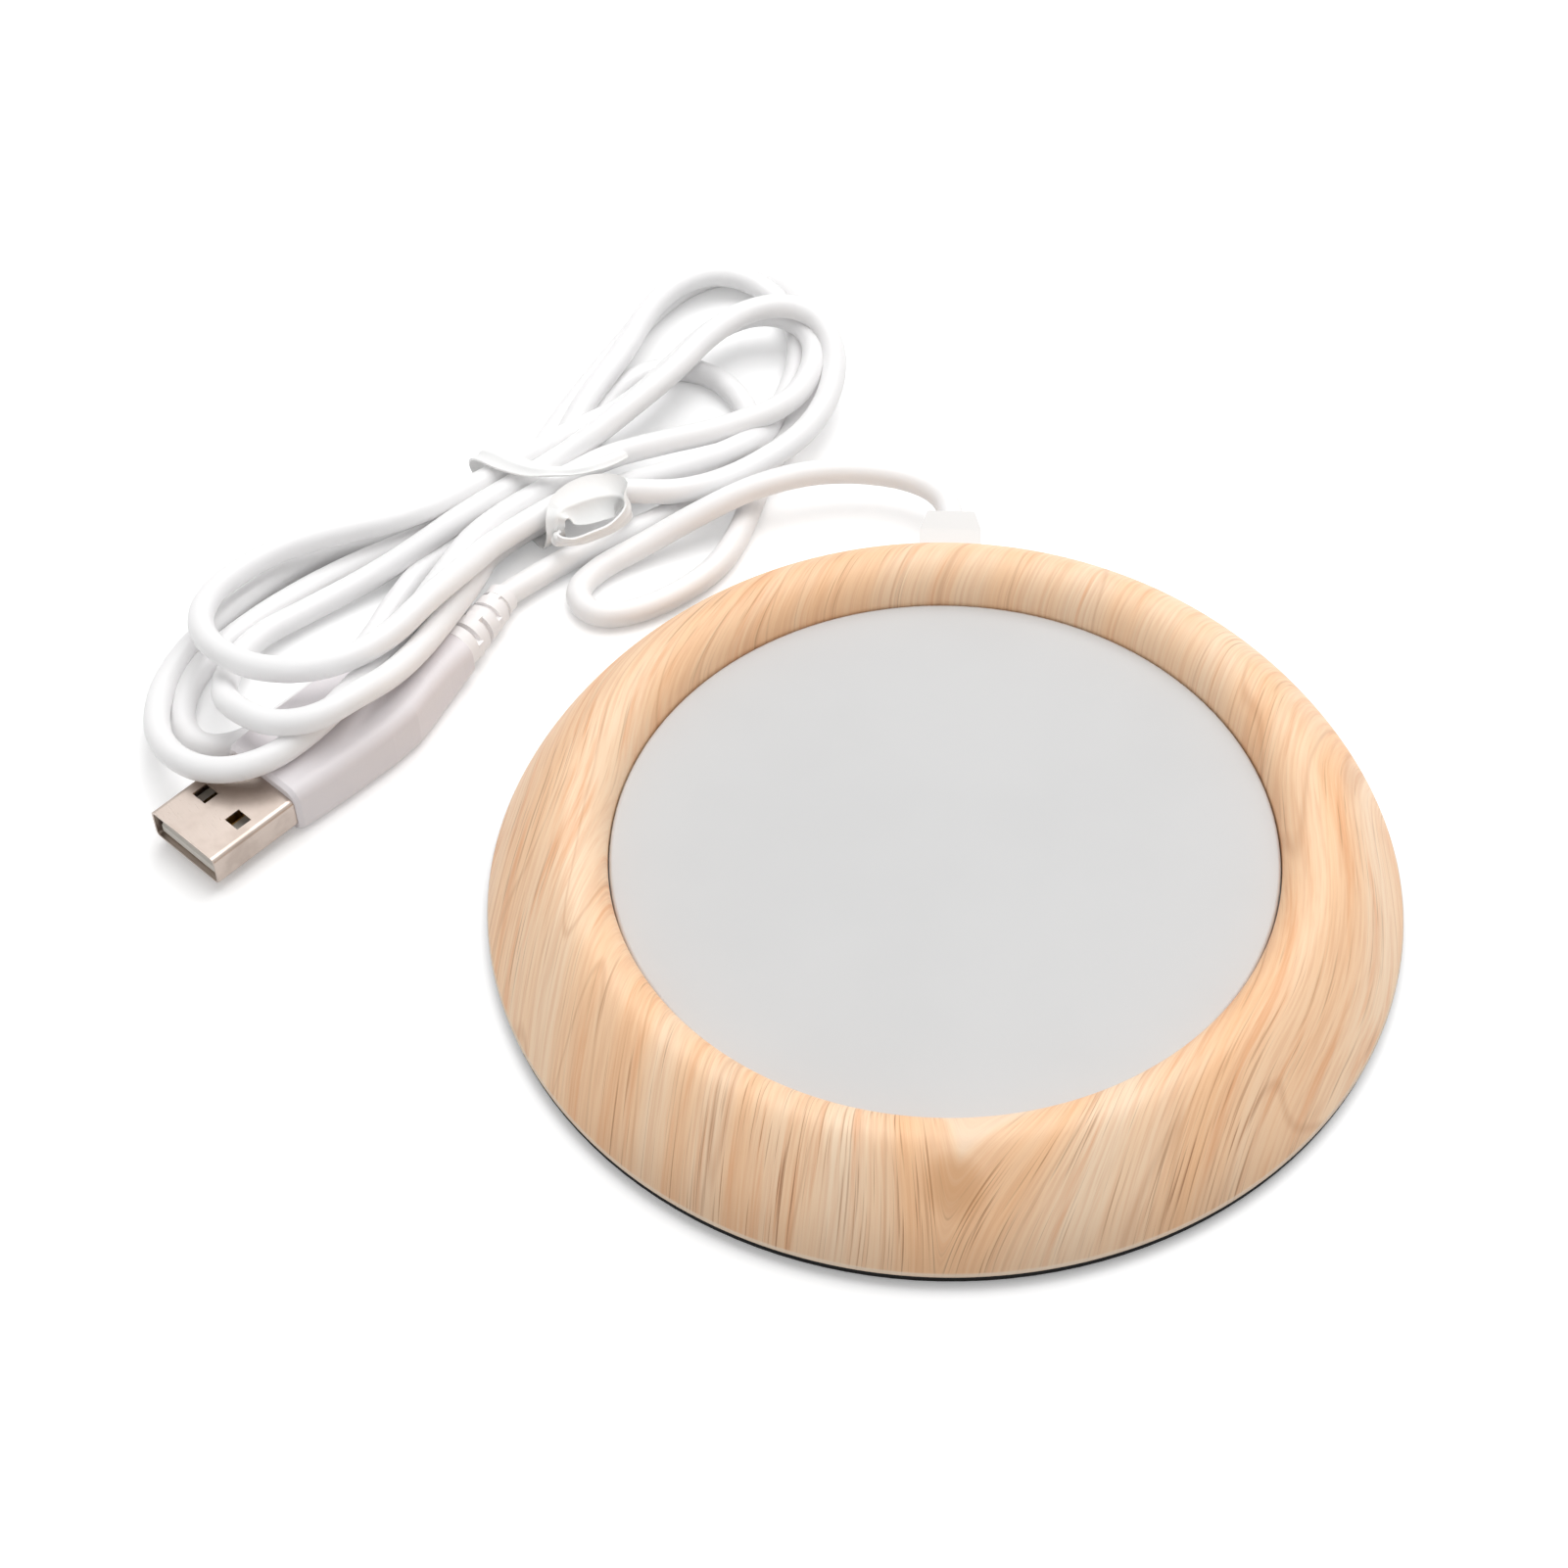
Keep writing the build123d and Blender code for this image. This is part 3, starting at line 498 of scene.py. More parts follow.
def ring_tree():
    """Lathe: a profile of soft curves and straight runs is turned about Z, with ribs inside."""
    tree, given, out = group_tree("Ring Lathe", "GeometryNodeTree", {
        "Outer Radius": 0.055, "Height": 0.014, "Crest Radius": 0.0445, "Opening Radius": 0.04,
        "Lip Height": 0.0092, "Rim Height": 0.002, "Skin": 0.0018, "Segments": 288,
        "Profile Steps": 220, "Ribs": 12, "Finish": "NodeSocketMaterial"},
        {"Geometry": "NodeSocketGeometry"})

    def at(radius, height, out_by=0.0, up_by=0.0):
        return tree.xyz(tree.add(radius, out_by * MM), tree.add(height, up_by * MM), 0.0)

    outer, crest, opening = given["Outer Radius"], given["Crest Radius"], given["Opening Radius"]
    top, rim, lip = given["Height"], given["Rim Height"], given["Lip Height"]
    inner_top = tree.minus(top, given["Skin"])
    bends = [       # each run's two handles and its end; it starts at the end before it
        ((outer, rim, -0.9, 2.8), (crest, top, 3.6), (crest, top)),
        ((crest, top, -2.5), (opening, lip, 0.0, 2.65), (opening, lip)),
        ((opening, lip, 0.0, -0.4), (opening, lip, 0.0, -0.9), (opening, lip, 0.0, -1.3)),
        ((opening, lip, 0.6, -1.3), (opening, lip, 1.4, -1.3), (opening, lip, 2.0, -1.3)),
        ((opening, lip, 2.0, 1.2), (crest, inner_top, -1.3), (crest, inner_top, 0.3)),
        ((crest, inner_top, 1.3), (outer, rim, -3.2, 2.4), (outer, rim, -2.0)),
        ((outer, rim, -1.4), (outer, rim, -0.6), (outer, rim)),
    ]
    grid = tree.node("GeometryNodeMeshGrid", {
        "Size X": 1.0, "Size Y": 1.0, "Vertices X": tree.add(given["Segments"], 1),
        "Vertices Y": tree.add(given["Profile Steps"], 1)})
    share = tree.split(tree.node("GeometryNodeInputPosition").outputs[0])
    angle = tree.times(tree.add(share["X"], 0.5), math.tau)
    step = tree.times(tree.add(share["Y"], 0.5), float(len(bends)))
    place, start = (0.0, 0.0, 0.0), at(outer, rim)
    for index, bend_corners in enumerate(bends):
        first, second, end = (at(*corner) for corner in bend_corners)
        run = tree.node("GeometryNodeCurvePrimitiveBezierSegment", {
            "Resolution": 40, "Start": start, "Start Handle": first,
            "End Handle": second, "End": end}, mode="POSITION")
        start = end
        local = tree.minus(step, float(index))
        sample = tree.node("GeometryNodeSampleCurve", {
            "Curves": run.outputs["Curve"], "Factor": local},
            mode="FACTOR", use_all_curves=False)
        started = tree.calc("GREATER_THAN", local, 0.0) if index else True
        place = tree.node("GeometryNodeSwitch", {
            "Switch": started, "False": place, "True": sample.outputs["Position"]},
            input_type="VECTOR").outputs[0]
    spot = tree.split(place)
    turned = tree.xyz(tree.times(spot["X"], tree.calc("COSINE", angle)),
                      tree.times(spot["X"], tree.calc("SINE", angle)), spot["Y"])
    shaped = tree.node("GeometryNodeSetPosition", {
        "Geometry": grid.outputs["Mesh"], "Position": turned})
    closed = tree.node("GeometryNodeMergeByDistance", {
        "Geometry": shaped.outputs[0], "Distance": 0.000004})
    smooth = tree.node("GeometryNodeSetShadeSmooth", {"Geometry": closed.outputs[0]})

    circle = tree.node("GeometryNodeMeshCircle", {
        "Vertices": given["Ribs"], "Radius": tree.add(crest, RIB_OUT)})
    spun = tree.node("GeometryNodeTransform", {
        "Geometry": circle.outputs[0], "Rotation": (0.0, 0.0, math.radians(15.0))})
    lifted = tree.node("GeometryNodeSetPosition", {
        "Geometry": spun.outputs[0], "Offset": (0.0, 0.0, RIB_HEIGHT)})
    rib = tree.node("GeometryNodeMeshCube", {"Size": RIB_SIZE})
    corner = tree.split(tree.node("GeometryNodeInputPosition").outputs[0])
    lower = tree.times(tree.calc("GREATER_THAN", corner["Z"], 0.0), corner["X"], RIB_SLOPE)
    slanted = tree.node("GeometryNodeSetPosition", {
        "Geometry": rib.outputs["Mesh"], "Offset": tree.xyz(0.0, 0.0, lower)})
    outwards = tree.node("FunctionNodeAlignRotationToVector", {
        "Vector": tree.node("GeometryNodeInputPosition").outputs[0]}, axis="X", pivot_axis="Z")
    ribs = tree.node("GeometryNodeInstanceOnPoints", {
        "Points": lifted.outputs[0], "Instance": slanted.outputs[0],
        "Rotation": outwards.outputs[0]})
    joined = tree.node("GeometryNodeJoinGeometry")
    tree.feed(joined.inputs[0], smooth.outputs[0])
    tree.feed(joined.inputs[0], ribs.outputs[0])
    real = tree.node("GeometryNodeRealizeInstances", {"Geometry": joined.outputs[0]})
    coloured = tree.node("GeometryNodeSetMaterial", {
        "Geometry": real.outputs[0], "Material": given["Finish"]})
    tree.feed(out["Geometry"], coloured.outputs[0])
    return tree.tree


class WARMER_OT_housing_ring(bpy.types.Operator):
    """Turn the wood-look ring from its profile"""

    bl_idname = "warmer.housing_ring"
    bl_label = "Housing Ring"

    def execute(self, context):
        ring = context.scene.warmer_ring
        material = wood_print(ring)
        mesh = baked("ring", ring_tree(), {
            "Outer Radius": ring.outer_radius, "Height": ring.height,
            "Crest Radius": ring.crest_radius, "Opening Radius": ring.opening_radius,
            "Lip Height": PLATE_HIGH[2], "Rim Height": RING_LOW[2], "Skin": ring.skin,
            "Segments": ring.segments, "Finish": material})
        make_outward(mesh)
        add_piece("wood_ring", mesh, material, "wood_print", "housing_ring")
        return {"FINISHED"}


def make_outward(mesh):
    """Point every closed shell's faces outwards."""
    work = bmesh.new()
    work.from_mesh(mesh)
    bmesh.ops.recalc_face_normals(work, faces=work.faces)
    work.to_mesh(mesh)
    work.free()


# ---------- plate and what lies under it
class WARMER_OT_heating_plate(bpy.types.Operator):
    """Coat the plate and its seal"""

    bl_idname = "warmer.heating_plate"
    bl_label = "Heating Plate"

    def execute(self, context):
        body = context.scene.warmer_body
        dress("heating_plate", moulded("plate_coat", tuple(body.plate), 0.5, 2600.0, 0.000006))
        dress("plate_seal", moulded("seal_silicone", rgb(196, 196, 192), 0.6, 1800.0))
        return {"FINISHED"}


class WARMER_OT_heater(bpy.types.Operator):
    """Finish the heater stack and its wiring"""

    bl_idname = "warmer.heater"
    bl_label = "Heater"

    def execute(self, context):
        finishes = {
            "heater_adhesive": moulded("adhesive_sheet", rgb(170, 172, 176), 0.7),
            "heater_film": moulded("film_amber", rgb(196, 122, 38), 0.25, 900.0, 0.000004),
            "heater_track": metal("etched_foil", rgb(188, 150, 110), 0.3, 0.3),
            "insulation_pad": moulded("fibre_pad", rgb(222, 218, 206), 0.95, 1500.0, 0.0001),
            "thermal_cutout": moulded("cutout_case", rgb(52, 50, 48), 0.5),
            "cutout_strap": moulded("strap_tape", rgb(206, 150, 70), 0.35, 900.0, 0.000004),
            "lead_positive": moulded("lead_red", rgb(176, 32, 28), 0.4),
            "lead_negative": moulded("lead_black", rgb(26, 26, 28), 0.4),
            "lead_bridge": bpy.data.materials["lead_red"],
            "lead_sleeves": moulded("shrink_sleeve", rgb(34, 34, 36), 0.6),
            "solder_joints": metal("solder", rgb(196, 198, 202), 0.22, 0.25),
        }
        for node, finish in finishes.items():
            dress(node, finish)
        return {"FINISHED"}


# ---------- cover, feet and screws
class WARMER_OT_base_cover(bpy.types.Operator):
    """Finish the cover, the feet and the screws"""

    bl_idname = "warmer.base_cover"
    bl_label = "Base Cover"

    def execute(self, context):
        body = context.scene.warmer_body
        dress("base_cover", moulded(
            "cover_black", tuple(body.cover), 0.75, 2400.0, 0.00004, Specular_IOR_Level=0.15))
        dress("rubber_feet", moulded("foot_rubber", rgb(44, 44, 46), 0.8, 1600.0, 0.00005))
        steel = metal("screw_steel", rgb(188, 188, 186), 0.32, 0.2)
        dress("base_screws", steel)
        dress("clamp_screws", steel)
        return {"FINISHED"}


# ---------- cord
HANK_CENTRE = (-54.0, 60.0)     # mm
HANK_ANGLE = math.radians(42.77)
CORD_EXIT = (0.0, 58.5, 5.3)

# The free stretch, mm: out of the boot, over its own return and round a tight fold.
FREE_ROUTE = [
    CORD_EXIT, (0.0, 61.4, 5.3), (-2.2, 64.8, 5.3), (-6.4, 67.0, 5.4), (-12.4, 67.7, 5.7),
    (-19.4, 66.7, 6.2), (-27.0, 63.5, 6.2), (-34.5, 59.6, 4.4), (-41.0, 56.0, 2.4),
    (-46.6, 52.3, 1.75), (-49.4, 47.6, 1.7), (-46.4, 43.6, 1.7), (-41.0, 44.4, 1.7),
    (-35.2, 48.2, 1.7), (-30.4, 53.4, 1.7), (-28.0, 59.8, 1.7), (-26.6, 66.4, 1.7),
    (-25.2, 72.6, 1.7),
]

# Each turn's two bends in the hank's axes: reach from the tie, low and high side, length of
# the bend, lean, and the heights of the cord's axis at the low side, the tip and the high side.
RIGHT_BENDS = [
    (55.6, -7.0, 24.8, 18.0, 6.8, 1.7, 1.7, 1.7),
    (49.4, -6.6, 12.6, 13.0, 3.4, 6.3, 4.7, 4.9),
    (50.1, -11.4, 9.4, 14.5, 4.2, 5.2, 7.5, 8.4),
    (52.4, -3.4, 23.4, 15.5, 6.0, 2.4, 1.9, 4.7),
]
LEFT_BENDS = [
    (62.0, -15.4, 13.4, 15.0, -5.0, 9.6, 7.0, 1.8),
    (49.4, -11.6, 16.0, 12.0, 0.5, 12.8, 10.6, 6.2),
    (53.1, -17.0, 7.4, 11.6, -3.2, 12.8, 11.0, 3.0),
    (57.0, -4.9, 10.1, 10.5, -3.0, 1.7, 1.7, 1.7),
]
# Where each turn passes the tie, on its way out and on its way back: across and height.
WAIST_OUT = [(11.1, 2.5), (9.4, 5.5), (6.0, 5.5), (7.7, 2.5)]
WAIST_BACK = [(2.6, 5.5), (-0.8, 5.5), (0.9, 2.5), (4.3, 2.5)]
WAIST_RIGHT, WAIST_LEFT = 6.0, -9.0
# Points between the tie and the bends.
RISE = [
    [(26.6, 20.9, 1.7), (18.0, 17.4, 1.7), (11.5, 14.0, 2.0)],
    [(28.0, 10.3, 4.9), (20.0, 8.6, 5.0), (13.0, 8.9, 5.5)],
    [(28.0, 7.2, 8.4), (18.4, 5.7, 8.0), (12.0, 5.5, 6.9)],
    [(27.0, 18.0, 4.7), (18.0, 14.4, 4.4), (11.8, 11.3, 3.0)],
]
FALL = [
    [],
    [(12.0, 2.2, 5.6), (19.0, -0.9, 6.0), (26.0, -4.4, 6.3)],
    [(10.4, -5.0, 5.4), (15.0, -9.2, 5.2), (20.8, -11.6, 5.2), (27.5, -12.3, 5.2)],
    [(10.8, -0.8, 2.6), (16.0, -4.2, 4.2), (22.5, -7.2, 5.2), (28.5, -8.0, 5.1),
     (33.0, -6.4, 3.3)],
]
OUTWARD = [
    [(-17.0, 13.6, 1.9), (-25.0, 16.2, 1.7), (-35.0, 16.4, 1.7)],
    [(-17.0, 10.6, 6.2), (-24.0, 13.6, 6.4), (-31.0, 16.2, 6.2)],
    [(-17.0, 6.4, 3.8), (-25.0, 7.2, 2.5), (-34.0, 8.0, 2.2)],
    [(-17.0, 10.0, 1.9), (-26.0, 11.6, 1.7), (-37.0, 11.8, 1.7)],
]
INWARD = [
    [(-39.5, -13.2, 9.4), (-32.0, -10.9, 9.4), (-25.0, -6.9, 8.8), (-17.0, -1.6, 6.4)],
    [(-31.5, -11.6, 12.7), (-26.0, -9.7, 12.5), (-20.5, -7.4, 11.0), (-14.8, -4.2, 8.2)],
    [(-35.6, -15.8, 10.6), (-29.0, -13.2, 9.4), (-21.8, -9.0, 7.8), (-15.0, -4.0, 4.6)],
    [(-38.5, -4.2, 1.7), (-31.0, -2.2, 1.7), (-24.0, 1.8, 1.7), (-16.5, 5.0, 1.8)],
]
# The small last loop on the surface, under the others, and the lead back past the tie.
LAST_LOOP = [
    (10.6, 6.4, 1.9), (14.8, 9.8, 1.7), (19.8, 13.8, 1.7), (26.0, 15.9, 1.7), (31.8, 14.4, 1.7),
    (35.6, 9.4, 1.7), (35.8, 3.4, 1.7), (33.6, -2.4, 1.7), (29.0, -6.8, 1.7), (22.5, -9.3, 1.7),
    (14.5, -9.1, 1.75), (7.2, -8.0, 1.75), (1.0, -7.0, 1.8), (-5.2, -6.6, 2.0),
]
RELIEF_ROOT = (-63.92, 34.86, 3.4)     # mm, where the sleeve leaves the plug's grip
RELIEF_TIP = (-58.56, 46.06, 2.4)
RELIEF_BOW = (0.5, -0.3, 0.0)          # how far its middle stands off the straight line
PLUG_TURN = math.radians(49.5)         # the way the scratches run on the shell
ROUNDING = 1.035    # control points stand this far outside the bend that they draw


def hank_point(along, across, height):
    """A point in the hank's axes, in the frame's axes, mm."""
    return (HANK_CENTRE[0] + along * math.cos(HANK_ANGLE) - across * math.sin(HANK_ANGLE),
            HANK_CENTRE[1] + along * math.sin(HANK_ANGLE) + across * math.cos(HANK_ANGLE), height)


def bend(side, reach, low, high, length, lean, low_z, tip_z, high_z):
    """Seven points round one end of a turn, from its low side to its high side."""
    middle, half = (low + high) / 2, (high - low) / 2
    points = []
    for step in range(7):
        turn = math.radians(-90 + 30 * step)
        rise = math.sin(turn)
        height = tip_z + (low_z - tip_z) * -rise if rise < 0 else tip_z + (high_z - tip_z) * rise
        points.append((side * (reach - length + length * ROUNDING * math.cos(turn)),
                       middle + half * ROUNDING * rise + lean * math.cos(turn), height))
    return points


def hank_turns():
    """Four loose turns, each out past the tie, round the left bend and back."""
    points = []
    for turn, (right, left) in enumerate(zip(RIGHT_BENDS, LEFT_BENDS)):
        start = bend(1, *right)
        points += start[1:] if turn == 0 else FALL[turn] + start
        points += RISE[turn]
        points += [(place, *WAIST_OUT[turn]) for place in (WAIST_RIGHT, WAIST_LEFT)]
        points += OUTWARD[turn] + bend(-1, *left)[::-1] + INWARD[turn]
        points += [(place, *WAIST_BACK[turn]) for place in (WAIST_LEFT, WAIST_RIGHT)]
    return points


def cord_points():
    coiled = [hank_point(*point) for point in hank_turns() + LAST_LOOP]
    return FREE_ROUTE + coiled + [RELIEF_TIP]


def smooth_line(name, points, half_thick=0.0):
    """A curve of one open spline through the control points, given in mm."""
    curve = bpy.data.curves.new(name, "CURVE")
    curve.dimensions = "3D"
    spline = curve.splines.new("NURBS")
    spline.points.add(len(points) - 1)
    for control, point in zip(spline.points, points):
        control.co = (*(value * MM for value in point), 1.0)
    spline.order_u = 3
    spline.use_endpoint_u = True
    curve.resolution_u = 10
    curve.bevel_depth = half_thick
    curve.bevel_resolution = 5
    curve.use_fill_caps = True
    return curve


class WARMER_OT_power_cord(bpy.types.Operator):
    """Lay the lead from the boot, through the tied hank, to the plug"""

    bl_idname = "warmer.power_cord"
    bl_label = "Power Cord"

    def execute(self, context):
        cord = context.scene.warmer_cord
        jacket = moulded("white_jacket", tuple(cord.jacket), 0.38, 900.0, 0.000008,
                         Subsurface_Weight=0.3, Subsurface_Scale=0.003,
                         Subsurface_Radius=(1.0, 1.0, 1.0))
        curve = smooth_line("power_lead", cord_points(), cord.diameter / 2)
        piece = add_piece("power_lead", curve, jacket, "white_jacket",
                          "power_cord", "plug_lead", "cord_hank")
        return {"FINISHED"}


# ---------- twist tie
# Strip stations in the hank's axes, mm: place, width, and the direction of the width.
FLAT = (1.0, 0.0, 0.0)
TIE_STATIONS = [
    ((13.2, -0.6, 7.3), 1.2, (-0.2, 0.9, 0.3)),
    ((11.0, -0.7, 7.7), 1.5, (-0.2, 0.9, 0.3)),
    ((8.4, -0.5, 8.1), 1.6, (-0.2, 0.9, 0.2)),
    ((5.4, 0.4, 8.5), 1.5, (-0.1, 0.9, 0.3)),
    ((2.8, 1.9, 8.8), 1.7, (0.4, 0.8, 0.0)),
    ((1.0, 4.4, 8.6), 2.6, (0.9, 0.3, 0.1)),
    ((0.0, 7.6, 8.1), 3.6, FLAT),
    ((-0.6, 10.6, 7.8), 4.0, FLAT),
    ((-0.7, 13.2, 6.4), 4.0, FLAT),
    ((-0.4, 14.1, 3.8), 3.8, FLAT),
    ((0.0, 12.6, 1.5), 3.6, FLAT),
    ((0.0, 9.0, 0.66), 3.6, FLAT),
    ((-0.4, 4.0, 0.70), 3.6, FLAT),
    ((-0.8, -0.4, 0.80), 3.6, FLAT),
    ((-1.2, -2.9, 1.8), 3.4, FLAT),
    ((-1.6, -4.0, 3.8), 3.0, FLAT),
    ((-1.8, -4.6, 5.8), 2.6, (0.9, -0.2, 0.3)),
    ((-1.2, -4.2, 7.5), 2.8, (0.7, -0.6, 0.2)),
    ((0.4, -3.8, 7.6), 4.8, (0.1, -0.8, -0.5)),
    ((2.9, -4.2, 7.5), 6.2, (-0.1, -0.8, -0.58)),
    ((5.8, -4.9, 7.2), 6.2, (-0.1, -0.78, -0.62)),
    ((8.2, -6.3, 6.7), 5.0, (0.0, -0.5, -0.87)),
    ((7.4, -8.5, 6.1), 3.2, (0.2, 0.0, -0.95)),
    ((4.2, -9.3, 5.9), 2.5, (0.35, 0.2, -0.9)),
    ((1.2, -8.9, 5.9), 2.3, (0.3, 0.2, -0.9)),
    ((-1.4, -8.2, 6.0), 2.2, (0.2, 0.3, -0.9)),
    ((-2.8, -6.6, 6.0), 2.0, (-0.2, 0.5, -0.8)),
    ((-2.2, -5.2, 5.6), 1.6, (-0.4, 0.6, -0.7)),
]
TIE_SHEET, TIE_WIRE = 0.14, 0.34        # mm, half thickness of the paper and over the wire
WIRE_FOOT, WIRE_CREST = 0.39, 0.195     # mm, half widths of the ridge over the wire
TIE_STEPS = 6


def between(stations, step, share):
    """Smooth value between two stations, led by their neighbours."""
    last = len(stations) - 1
    four = [stations[min(max(step + shift, 0), last)] for shift in (-1, 0, 1, 2)]
    square, cube = share * share, share ** 3
    weights = (-0.5 * share + square - 0.5 * cube, 1 - 2.5 * square + 1.5 * cube,
               0.5 * share + 2 * square - 1.5 * cube, -0.5 * square + 0.5 * cube)
    return sum((value * weight for value, weight in zip(four, weights)), four[0] * 0)


def strip_mesh(name, stations, steps):
    """A flat strip with a raised wire along its middle, swept through its stations."""
    origin = Vector(hank_point(0, 0, 0))
    places, widths, sides = zip(*stations)
    tracks = [[Vector(hank_point(*place)) * MM for place in places],
              [Vector(hank_point(*side)) - origin for side in sides],
              [width / 2 for width in widths]]
    rows = [[between(track, step, part / steps) for track in tracks]
            for step in range(len(stations) - 1) for part in range(steps)]
    rows.append([track[-1] for track in tracks])
    work = bmesh.new()
    rings = []
    for index, (place, side, half) in enumerate(rows):
        ahead = rows[min(index + 1, len(rows) - 1)][0] - rows[max(index - 1, 0)][0]
        ahead.normalize()
        flat = (side - ahead * side.dot(ahead)).normalized()
        up = flat.cross(ahead)
        upper = [(-half, TIE_SHEET), (-WIRE_FOOT, TIE_SHEET), (-WIRE_CREST, TIE_WIRE),
                 (WIRE_CREST, TIE_WIRE), (WIRE_FOOT, TIE_SHEET), (half, TIE_SHEET)]
        profile = upper + [(across, -rise) for across, rise in reversed(upper)]
        rings.append([work.verts.new(place + (flat * across + up * rise) * MM)
                      for across, rise in profile])
    for one, two in zip(rings, rings[1:]):
        for corner in range(len(one)):
            nxt = (corner + 1) % len(one)
            work.faces.new((one[corner], one[nxt], two[nxt], two[corner]))
    work.faces.new(rings[0])
    work.faces.new(rings[-1])
    bmesh.ops.recalc_face_normals(work, faces=work.faces)
    mesh = bpy.data.meshes.new(name)
    work.to_mesh(mesh)
    work.free()
    mesh.shade_smooth()
    mesh.set_sharp_from_angle(angle=math.radians(50))
    return mesh


class WARMER_OT_twist_tie(bpy.types.Operator):
    """Wrap the flat wire tie round the hank and twist its ends"""

    bl_idname = "warmer.twist_tie"
    bl_label = "Twist Tie"

    def execute(self, context):
        colour = tuple(context.scene.warmer_cord.tie)
        material = moulded("tie_paper", colour, 0.5, 1400.0, 0.00002)
        mesh = strip_mesh("twist_tie", TIE_STATIONS, TIE_STEPS)
        add_piece("twist_tie", mesh, material, "tie_white", "cord_tie")
        return {"FINISHED"}


# ---------- cord exit and plug
def relief_tree():
    """Slotted sleeve: a core along the path, with rings round it and webs across the slots."""
    tree, given, out = group_tree("Relief Sleeve", "GeometryNodeTree", {
        "Geometry": "NodeSocketGeometry", "Rings": 5, "Core Radius": 0.0019,
        "Root Radius": 0.0030, "Tip Radius": 0.0022, "Ring Width": 0.0017,
        "Slot Width": 0.0009, "Finish": "NodeSocketMaterial"},
        {"Geometry": "NodeSocketGeometry"})
    path, count = given["Geometry"], given["Rings"]
    core_profile = tree.node("GeometryNodeCurvePrimitiveCircle", {
        "Resolution": 32, "Radius": given["Core Radius"]}, mode="RADIUS")
    core = tree.node("GeometryNodeCurveToMesh", {
        "Curve": path, "Profile Curve": core_profile.outputs["Curve"], "Fill Caps": True})

    def spaced(start, end, number, piece, depth):
        """Copies of a piece along part of the path, smaller towards the tip."""
        part = tree.node("GeometryNodeTrimCurve", {"Curve": path, "Start": start, "End": end},
                         mode="FACTOR")
        spots = tree.node("GeometryNodeResampleCurve", {"Curve": part.outputs[0], "Count": number})
        index = tree.node("GeometryNodeInputIndex").outputs[0]
        share = tree.calc("DIVIDE", index, tree.minus(number, 1.0))
        wide = tree.node("ShaderNodeMapRange", {
            "Value": share, "To Min": given["Root Radius"],
            "To Max": given["Tip Radius"]}).outputs["Result"]
        points = tree.node("GeometryNodeCurveToPoints", {"Curve": spots.outputs[0]},
                           mode="EVALUATED")
        copies = tree.node("GeometryNodeInstanceOnPoints", {
            "Points": points.outputs["Points"], "Instance": piece.outputs["Mesh"],
            "Rotation": points.outputs["Rotation"], "Scale": tree.xyz(wide, wide, depth)})
        return copies.outputs["Instances"]

    first, last = 0.12, 0.93
    ring = tree.node("GeometryNodeMeshCylinder", {
        "Vertices": 40, "Side Segments": 1, "Fill Segments": 1, "Radius": 1.0, "Depth": 1.0})
    rings = spaced(first, last, count, ring, given["Ring Width"])
    slots = tree.minus(count, 1.0)
    half = tree.calc("DIVIDE", (last - first) / 2, slots)
    web = tree.node("GeometryNodeMeshCube", {"Size": (1.92, 0.75, 1.2)})
    webs = spaced(tree.add(half, first), tree.minus(last, half), slots, web, given["Slot Width"])
    odd = tree.calc("MODULO", tree.node("GeometryNodeInputIndex").outputs[0], 2.0)
    turned = tree.node("GeometryNodeRotateInstances", {
        "Instances": webs,
        "Rotation": tree.xyz(0.0, 0.0, tree.times(odd, math.pi / 2))})
    joined = tree.node("GeometryNodeJoinGeometry")
    tree.feed(joined.inputs[0], core.outputs["Mesh"])
    tree.feed(joined.inputs[0], rings)
    tree.feed(joined.inputs[0], turned.outputs[0])
    real = tree.node("GeometryNodeRealizeInstances", {"Geometry": joined.outputs[0]})
    smooth = tree.node("GeometryNodeSetShadeSmooth", {"Geometry": real.outputs[0]})
    coloured = tree.node("GeometryNodeSetMaterial", {
        "Geometry": smooth.outputs[0], "Material": given["Finish"]})
    tree.feed(out["Geometry"], coloured.outputs[0])
    return tree.tree


class WARMER_OT_cord_exit(bpy.types.Operator):
    """Finish the boot, the cord's end and its clamp"""

    bl_idname = "warmer.cord_exit"
    bl_label = "Cord Exit"

    def execute(self, context):
        cord = context.scene.warmer_cord
        dress("cord_boot", moulded("white_moulding", rgb(236, 234, 232), 0.42, 3000.0, 0.00001))
        dress("cord_tail", moulded("tail_jacket", tuple(cord.jacket), 0.38, 900.0, 0.000008))
        dress("cord_clamp", moulded("clamp_nylon", rgb(232, 228, 218), 0.5))
        return {"FINISHED"}


